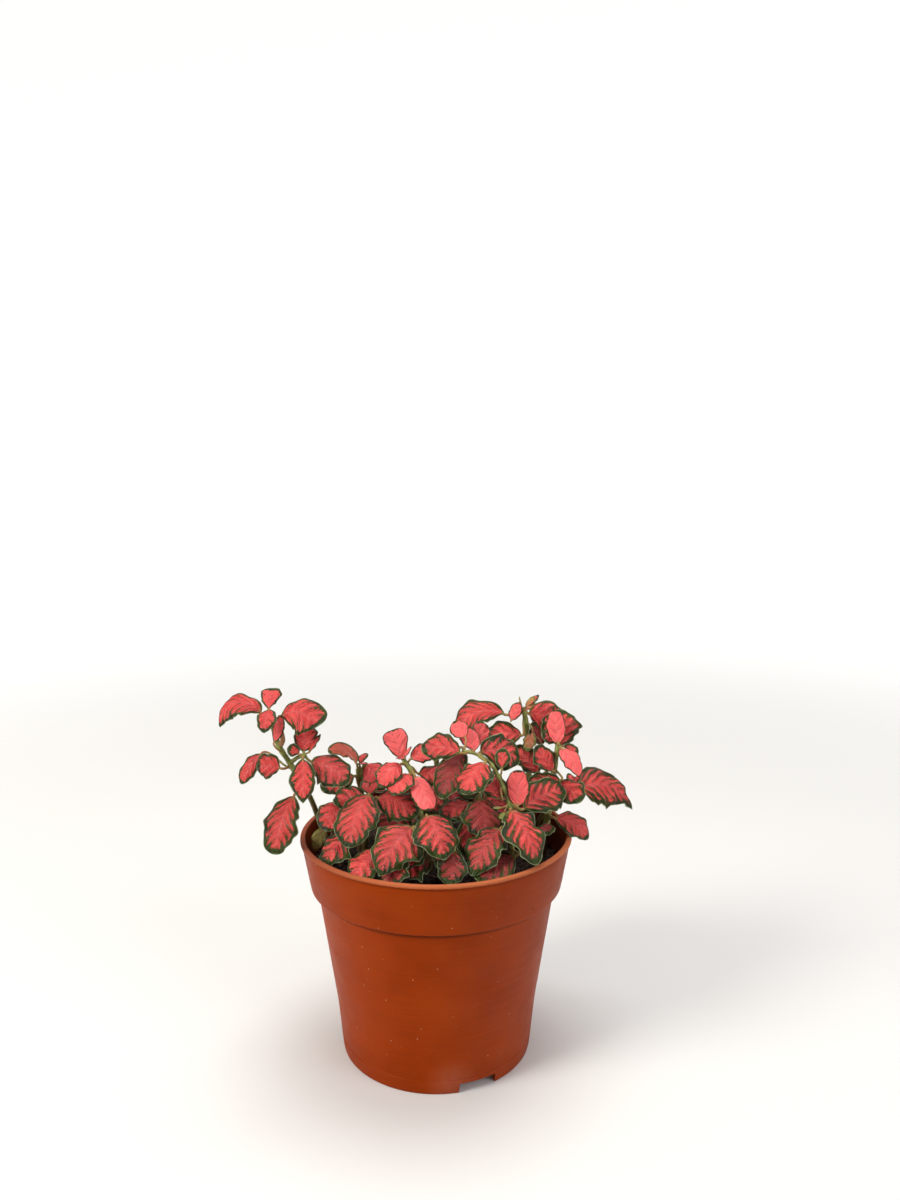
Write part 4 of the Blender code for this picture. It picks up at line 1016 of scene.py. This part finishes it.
def soilMaterial(name, dark, light, roughness):
    # Peat-based potting soil, sieved and watered in: nearly black, crumbly and matt, with brown fibres
    material, add, shader, place, look = newMaterial(name, roughness, {"dark": dark, "light": light})
    crumb = add("TexNoise", place, 1 / (soilLook["crumb"] * mm), 5, 0.65)
    fine = add("TexNoise", place, 1 / (soilLook["fine"] * mm), 3)
    fill(shader, baseColor=add("Mix.RGBA", add("MapRange", crumb, 0.38, 0.72), look["dark"], look["light"]),
         normal=add("Bump", strength=0.9, distance=0.4 * mm, height=fine))
    return material


def makeSoilBed(look, material):
    wall, gap, rise = potLook["wall"], look["gap"], potLook["cornerRise"]
    neck, waist, foot = potLook["neck"], potLook["waist"], potLook["footRadius"]
    floorTop = potLook["floorHeight"] + potLook["floorThickness"]
    innerFoot = foot + (waist[0] - foot) / waist[1] * floorTop - wall
    collar, collarHeight = potLook["collarFoot"][0] - wall, potLook["collarFoot"][1] + rise
    under, lip = potLook["rimHeight"] - potLook["lipDepth"], potLook["rimRadius"] - potLook["lipWidth"]
    edge = collar + (look["edgeHeight"] - collarHeight) / (under - collarHeight) * (lip - collar) - gap
    base = floorTop + 0.3
    sides = [(innerFoot * 0.5, base), (innerFoot - gap, base), (waist[0] - wall - gap, waist[1]),
             (neck[0] - wall - gap, neck[1] + rise + gap), (collar - gap, collarHeight + gap)]
    angle = tau * np.arange(look["sides"]) / look["sides"]
    radii = edge * (1 - np.linspace(0, 1, look["rings"]))[:-1, None]
    x, y = radii * np.cos(angle), radii * np.sin(angle)
    rough = np.array([[look["lump"] * noise.noise(Vector((a, b, 0)) / look["lumpSize"])
                       + look["grain"] * noise.noise(Vector((a, b, 7)) / look["grainSize"])
                       for a, b in zip(rowX, rowY)] for rowX, rowY in zip(x, y)])
    rough[0] = np.minimum(rough[0], 0)
    low = [np.stack([r * np.cos(angle), r * np.sin(angle), z + 0 * angle], -1) for r, z in sides]
    rings = np.vstack([low, np.stack([x, y, soilHeight(x, y, look) + rough], -1)])
    points = np.vstack([rings.reshape(-1, 3), [[0, 0, base]], [[0, 0, soilHeight(0, 0, look)]]])
    return newPiece("soilBed", points, tubeFaces(len(rings), look["sides"]), material)


def crumbTree(look):
    # scatters stones of uneven shape over the soil's top, each turned and sized at random
    tree, add, given = newTree("scatterOnSoil", {"Detail": "Int", "Density": "Float", "Least size": "Float",
                                                 "Most size": "Float", "Shape": "Vector", "Unevenness": "Float",
                                                 "Sink": "Float", "Seed": "Int", "Material": "Material"})
    where = add("InputPosition")
    faceUp = add("GREATER_THAN", add("SeparateXYZ", add("InputNormal")).outputs["Z"], 0.3)
    high = add("GREATER_THAN", add("SeparateXYZ", where).outputs["Z"], look["scatterAbove"] * mm)
    dots = add("DistributePointsOnFaces", given["Geometry"], add("MULTIPLY", faceUp, high), given["Density"],
               given["Seed"])
    stone = add("Transform", add("MeshIcoSphere", 1, given["Detail"]), scale=given["Shape"])
    turn = add("RandomValue.FLOAT_VECTOR", max=(6.28, 6.28, 6.28), seed=given["Seed"])
    size = add("RandomValue", given["Least size"], given["Most size"], seed=given["Seed"])
    placed = add("InstanceOnPoints", dots, instance=stone, rotation=turn, scale=size)
    bumps = add("TexNoise", where, 1 / (look["unevenSize"] * mm), 2).outputs["Color"]
    push = add("VectorMath.SCALE", add("VectorMath.SUBTRACT", bumps, (0.5, 0.5, 0.5)), given["Unevenness"])
    uneven = add("SetPosition", add("RealizeInstances", placed), offset=push)
    sunk = add("SetPosition", uneven, offset=add("CombineXYZ", z=given["Sink"]))
    add("NodeGroupOutput", add("SetMaterial", sunk, material=given["Material"]))
    return tree


peat = soilMaterial("potting peat, watered", "#0B0604", "#3A2418", 0.9)
bed = makeSoilBed(soilLook, peat)
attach(bed, "root")
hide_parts("soil")
scatter = crumbTree(soilLook)
crumbs = {"dark": soilMaterial("peat crumbs", "#120A06", "#4A3020", 0.95),
          "pale": soilMaterial("bark and root fibres", "#5A3A22", "#A98660", 0.8)}
for name, (shade, seed, detail, density, (least, most), shape, unevenness, sink) in soilLook["scatter"].items():
    piece = remade(newObject(name, bed.data.copy()), scatter, {
        "Detail": detail, "Density": density / mm ** 2, "Least size": least * mm, "Most size": most * mm,
        "Shape": shape, "Unevenness": unevenness * mm, "Sink": -sink * mm, "Seed": seed, "Material": crumbs[shade]})
    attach(piece, "root")
print("soil: bed, crumbs, lumps, chips and fibres")


# Floor, lights and camera, in metres

stageLook = {
    "floor": "#DEDCD8", "wall": "#FFFFFF", "wallGlow": 0.62,
    "floorRadius": 0.32, "sweepRadius": 1.4, "curveRadius": 0.8, "wallHeight": 3.0, "sides": 96,
    "world": "#FFFFFF", "worldStrength": 0.42,
    "lights": (              # name, place, size, watts, colour
        ("window", (-1.05, -0.62, 0.85), 0.6, 17.0, "#FFFDF8"),
        ("fill", (0.95, -0.7, 0.55), 0.8, 6.5, "#F8F8FF"),
        ("overhead", (0.1, 0.2, 1.35), 0.8, 10.0, "#FFFFFF"),
    ),
    "aim": (0.0, 0.0, 0.09),
    "camera": (0.0054, -0.3401, 0.2164), "tip": 6.72, "lens": 27.0,
}


def makeStage(look):
    # a round floor, and beyond it a self-lit sweep that curves up into a pale wall, the same from every side
    material, add, shader, place, colours = newMaterial("matt painted studio floor", 0.85,
                                                        {"floor": look["floor"], "wall": look["wall"]})
    floor, far, curve, sides = look["floorRadius"], look["sweepRadius"], look["curveRadius"], look["sides"]
    glow = add("MapRange.SMOOTHSTEP", add("VectorMath.LENGTH", place), floor, far, 0, look["wallGlow"])
    fill(shader, baseColor=colours["floor"], emissionColor=colours["wall"], emissionStrength=glow)
    near = [(floor * share, 0.0) for share in (0.12, 0.3, 0.6, 1.0)]
    sweep = between((floor, 0.0), (far, 0.0), (0.0, 0.3, 0.6, 1.0))
    sweep += [(far + curve * math.sin(a), curve * (1 - math.cos(a))) for a in tau / 4 * np.arange(1, 13) / 12]
    sweep.append((far + curve, look["wallHeight"]))
    for name, rings in (("studioFloor", near), ("studioSweep", sweep)):
        points = [(radius * math.cos(tau * k / sides), radius * math.sin(tau * k / sides), height)
                  for radius, height in rings for k in range(sides)]
        faces = [(r * sides + k, (r + 1) * sides + k, (r + 1) * sides + (k + 1) % sides, r * sides + (k + 1) % sides)
                 for r in range(len(rings) - 1) for k in range(sides)]
        if rings is near:
            faces.append(tuple(range(sides)))
        part = newPiece(name, np.array(points) / mm, faces, material)
    part.visible_diffuse = False     # the bright sweep is a background and doesn't light the plant
    part.visible_glossy = False

    world = bpy.data.worlds.new("studio")
    bpy.context.scene.world = world
    world.use_nodes = True
    fill(world.node_tree.nodes["Background"], linear(look["world"]), look["worldStrength"])
    for name, place, size, watts, shade in look["lights"]:
        light = bpy.data.lights.new(name, "AREA")
        light.shape = "DISK"
        light.size = size
        light.energy = watts
        light.color = linear(shade)[:3]
        lamp = newObject(name, light)
        lamp.location = place
        lamp.rotation_euler = (Vector(look["aim"]) - Vector(place)).to_track_quat("-Z", "Y").to_euler()
        lamp.visible_camera = False

    lens = bpy.data.cameras.new("camera")
    lens.lens = look["lens"]
    lens.sensor_width = 36.0
    lens.clip_start = 0.01
    camera = newObject("camera", lens)
    camera.location = look["camera"]
    camera.rotation_euler = (math.radians(90 - look["tip"]), 0, 0)
    bpy.context.scene.camera = camera


makeStage(stageLook)
bpy.context.scene.view_settings.view_transform = "Standard"

print("stage and camera")
